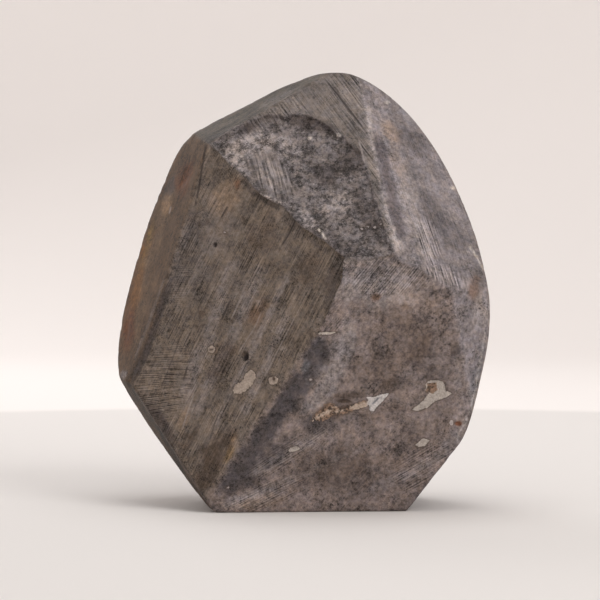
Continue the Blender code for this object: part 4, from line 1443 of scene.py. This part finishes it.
class StageLook(bpy.types.PropertyGroup):
    """Sizes, colours and lights of the stage."""

    floor: colour("Floor", "Pale table round the stone", 236, 232, 229)
    backdrop: colour("Backdrop", "Pale wall behind", 252, 247, 244)
    table_radius: length("Table radius", "Where the floor's tone changes", 0.46)
    flat_radius: length("Flat radius", "Where the floor starts to rise", 1.0)
    wall_radius: length("Wall radius", "Where the backdrop stands", 1.6)
    wall_height: length("Wall height", "Height of the backdrop", 1.4)
    key_power: bpy.props.FloatProperty(
        name="Key light", description="Light from the upper right", unit='POWER', default=3.6)
    top_power: bpy.props.FloatProperty(
        name="Top light", description="Soft light from above", unit='POWER', default=3.4)
    back_power: bpy.props.FloatProperty(
        name="Back light", description="Soft light from behind", unit='POWER', default=2.5)
    wash_power: bpy.props.FloatProperty(
        name="Backdrop light", description="Light on the backdrop", unit='POWER', default=2.6)
    ambient: factor("Ambient", "Light from all round", 0.40, 2.0)
    camera_distance: length("Camera distance", "From the stone's front to the camera", 0.80)
    camera_rise: bpy.props.FloatProperty(
        name="Camera elevation", description="Angle of the camera over level", unit='ROTATION',
        default=math.radians(1.5))
    frame_width: length("Frame width", "Width of the picture at the stone's front", 0.2043)
    aim: bpy.props.FloatVectorProperty(
        name="Camera aim", description="Where the camera looks", subtype='TRANSLATION',
        default=(-0.0003, -0.016, 0.0712))


class STONE_OT_make_stone(bpy.types.Operator):
    """Builds the stone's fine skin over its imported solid, and finishes it"""

    bl_idname = "stone.make_stone"
    bl_label = "Make stone"

    def execute(self, context):
        scene = context.scene
        mesh, lay = skin_mesh(scene.stone_shape)
        skin = as_object("amethyst_skin", mesh)
        dress(mesh, lay, scene.stone_colours)
        mesh.materials.clear()
        mesh.materials.append(stone_material(scene.stone_finish, scene.stone_colours))
        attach(skin, "root")
        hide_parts("amethyst_stone")
        return {'FINISHED'}


def dress(mesh, lay, colours):
    """Keeps on the mesh what its finish reads."""
    hacked = smoothstep(*FINISH_LIP, lay.lip) * lay.on("upper_front")
    grooves = sum(groove_depth(lay, *fan) * lay.on(fan[0]) for fan in GROOVE_FANS)
    amounts = [finish_amount(lay, name) for name in ("lines", "mottling", "specks")]
    # The grooves' depth outside the patch is kept for the finish, which darkens them as painted
    # shade
    wear = (hacked, finish_amount(lay, "gloss"), grooves * (1 - hacked))
    inlay, inlay_tint = inlay_fields(lay, colours)
    fields = {
        "tint": stone_tint(lay, colours),
        "saw": saw_field(lay),
        "cross_saw": cross_field(lay),
        "amounts": np.stack(amounts, axis=1),
        "wear": np.stack(wear, axis=1),
        "inlay": inlay,
        "inlay_tint": inlay_tint,
        "scratch": scratch_field(lay),
    }
    for name, values in fields.items():
        add_field(mesh, name, values)


def turned(name, profile, steps):
    """A surface turned round the upright axis from points (radius, height)."""
    mesh = bpy.data.meshes.new(name)
    bm = bmesh.new()
    line = [bm.verts.new((radius, 0.0, height)) for radius, height in profile]
    edges = [bm.edges.new(pair) for pair in zip(line, line[1:])]
    bmesh.ops.spin(
        bm, geom=line + edges, cent=(0, 0, 0), axis=(0, 0, 1), angle=2 * math.pi, steps=steps,
        use_merge=True,
    )
    bmesh.ops.remove_doubles(bm, verts=bm.verts, dist=WELD)
    for face in bm.faces:
        face.smooth = True
    bm.to_mesh(mesh)
    bm.free()
    return as_object(name, mesh)


def stage_material(look):
    """Pale floor that turns into a paler backdrop."""
    material, nodes, shader = new_material("stage")
    level = nodes.stretched("place", (M, M, 0))
    radius = nodes.add('ShaderNodeVectorMath', {0: level}, operation='LENGTH').outputs["Value"]
    far = nodes.ease(radius, look.table_radius - TONE_REACH, look.table_radius + TONE_REACH)
    tint = nodes.mix(far, (*look.floor, 1), (*look.backdrop, 1))
    material.node_tree.links.new(tint, shader.inputs["Base Color"])
    shader.inputs["Roughness"].default_value = STAGE_ROUGHNESS
    shader.inputs["Specular IOR Level"].default_value = STAGE_SHINE
    return material


def area_light(name, spot, size, power, tint, aim):
    """A square soft light that faces its aim."""
    light = bpy.data.lights.new(name, 'AREA')
    light.size = size
    light.energy = power
    light.color = tint
    thing = bpy.data.objects.new(name, light)
    thing.location = spot
    thing.rotation_euler = (Vector(aim) - Vector(spot)).to_track_quat('-Z', 'Y').to_euler()
    bpy.context.scene.collection.objects.link(thing)


def stage_profile(look):
    """Radii and heights of the floor and the backdrop."""
    bend = look.wall_radius - look.flat_radius
    turns = [math.radians(angle) for angle in range(0, 90 + 1, BEND_STEP)]
    curve = [(look.flat_radius + bend * math.sin(a), bend * (1 - math.cos(a))) for a in turns]
    return [(0.0, 0.0), (look.table_radius, 0.0), *curve, (look.wall_radius, look.wall_height)]


class STONE_OT_make_stage(bpy.types.Operator):
    """Builds the pale floor and backdrop, the soft lights and the camera"""

    bl_idname = "stone.make_stage"
    bl_label = "Make stage"

    def execute(self, context):
        scene = context.scene
        look = scene.stage_look
        backdrop = turned("studio_backdrop", stage_profile(look), BACKDROP_STEPS)
        backdrop.data.materials.append(stage_material(look))
        backdrop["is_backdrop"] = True

        for name, spot, size, power, tint, aim in LIGHTS:
            area_light(name, spot, size, getattr(look, power), tint, aim)
        world = bpy.data.worlds.new("studio")
        world.use_nodes = True
        background = world.node_tree.nodes["Background"]
        background.inputs["Color"].default_value = AMBIENT_TINT
        background.inputs["Strength"].default_value = look.ambient
        scene.world = world

        camera = bpy.data.cameras.new("camera")
        camera.lens = camera.sensor_width * look.camera_distance / look.frame_width
        back = Vector((0.0, -math.cos(look.camera_rise), math.sin(look.camera_rise)))
        stand = bpy.data.objects.new("camera", camera)
        stand.location = Vector(look.aim) + back * look.camera_distance
        stand.rotation_euler = (-back).to_track_quat('-Z', 'Y').to_euler()
        scene.collection.objects.link(stand)
        scene.camera = stand
        scene.view_settings.view_transform = 'Standard'
        return {'FINISHED'}


class STONE_PT_stone(bpy.types.Panel):
    """Sizes, colours and finish of the stone and its stage"""

    bl_idname = "STONE_PT_stone"
    bl_label = "Black amethyst"
    bl_space_type = 'VIEW_3D'
    bl_region_type = 'UI'
    bl_category = "Stone"

    def draw(self, context):
        for operator, groups in PANEL_ROWS:
            box = self.layout.box()
            box.operator(operator.bl_idname)
            for group in groups:
                settings = getattr(context.scene, group)
                for name in settings.__annotations__:
                    box.prop(settings, name)


GROUPS = {
    "stone_shape": StoneShape,
    "stone_colours": StoneColours,
    "stone_finish": StoneFinish,
    "stage_look": StageLook,
}
PANEL_ROWS = (
    (STONE_OT_make_stone, ("stone_shape", "stone_colours", "stone_finish")),
    (STONE_OT_make_stage, ("stage_look",)),
)
CLASSES = (*GROUPS.values(), STONE_OT_make_stone, STONE_OT_make_stage, STONE_PT_stone)


def register():
    for made in CLASSES:
        bpy.utils.register_class(made)
    for name, group in GROUPS.items():
        setattr(bpy.types.Scene, name, bpy.props.PointerProperty(type=group))


def unregister():
    for name in GROUPS:
        delattr(bpy.types.Scene, name)
    for made in reversed(CLASSES):
        bpy.utils.unregister_class(made)


def main():
    cad_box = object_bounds()
    register()
    bpy.ops.stone.make_stone()
    bpy.ops.stone.make_stage()
    sizes = {"cad": cad_box, "visual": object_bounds()}
    plain = {name: [list(corner) for corner in box] for name, box in sizes.items()}


if __name__ == "__main__":
    main()
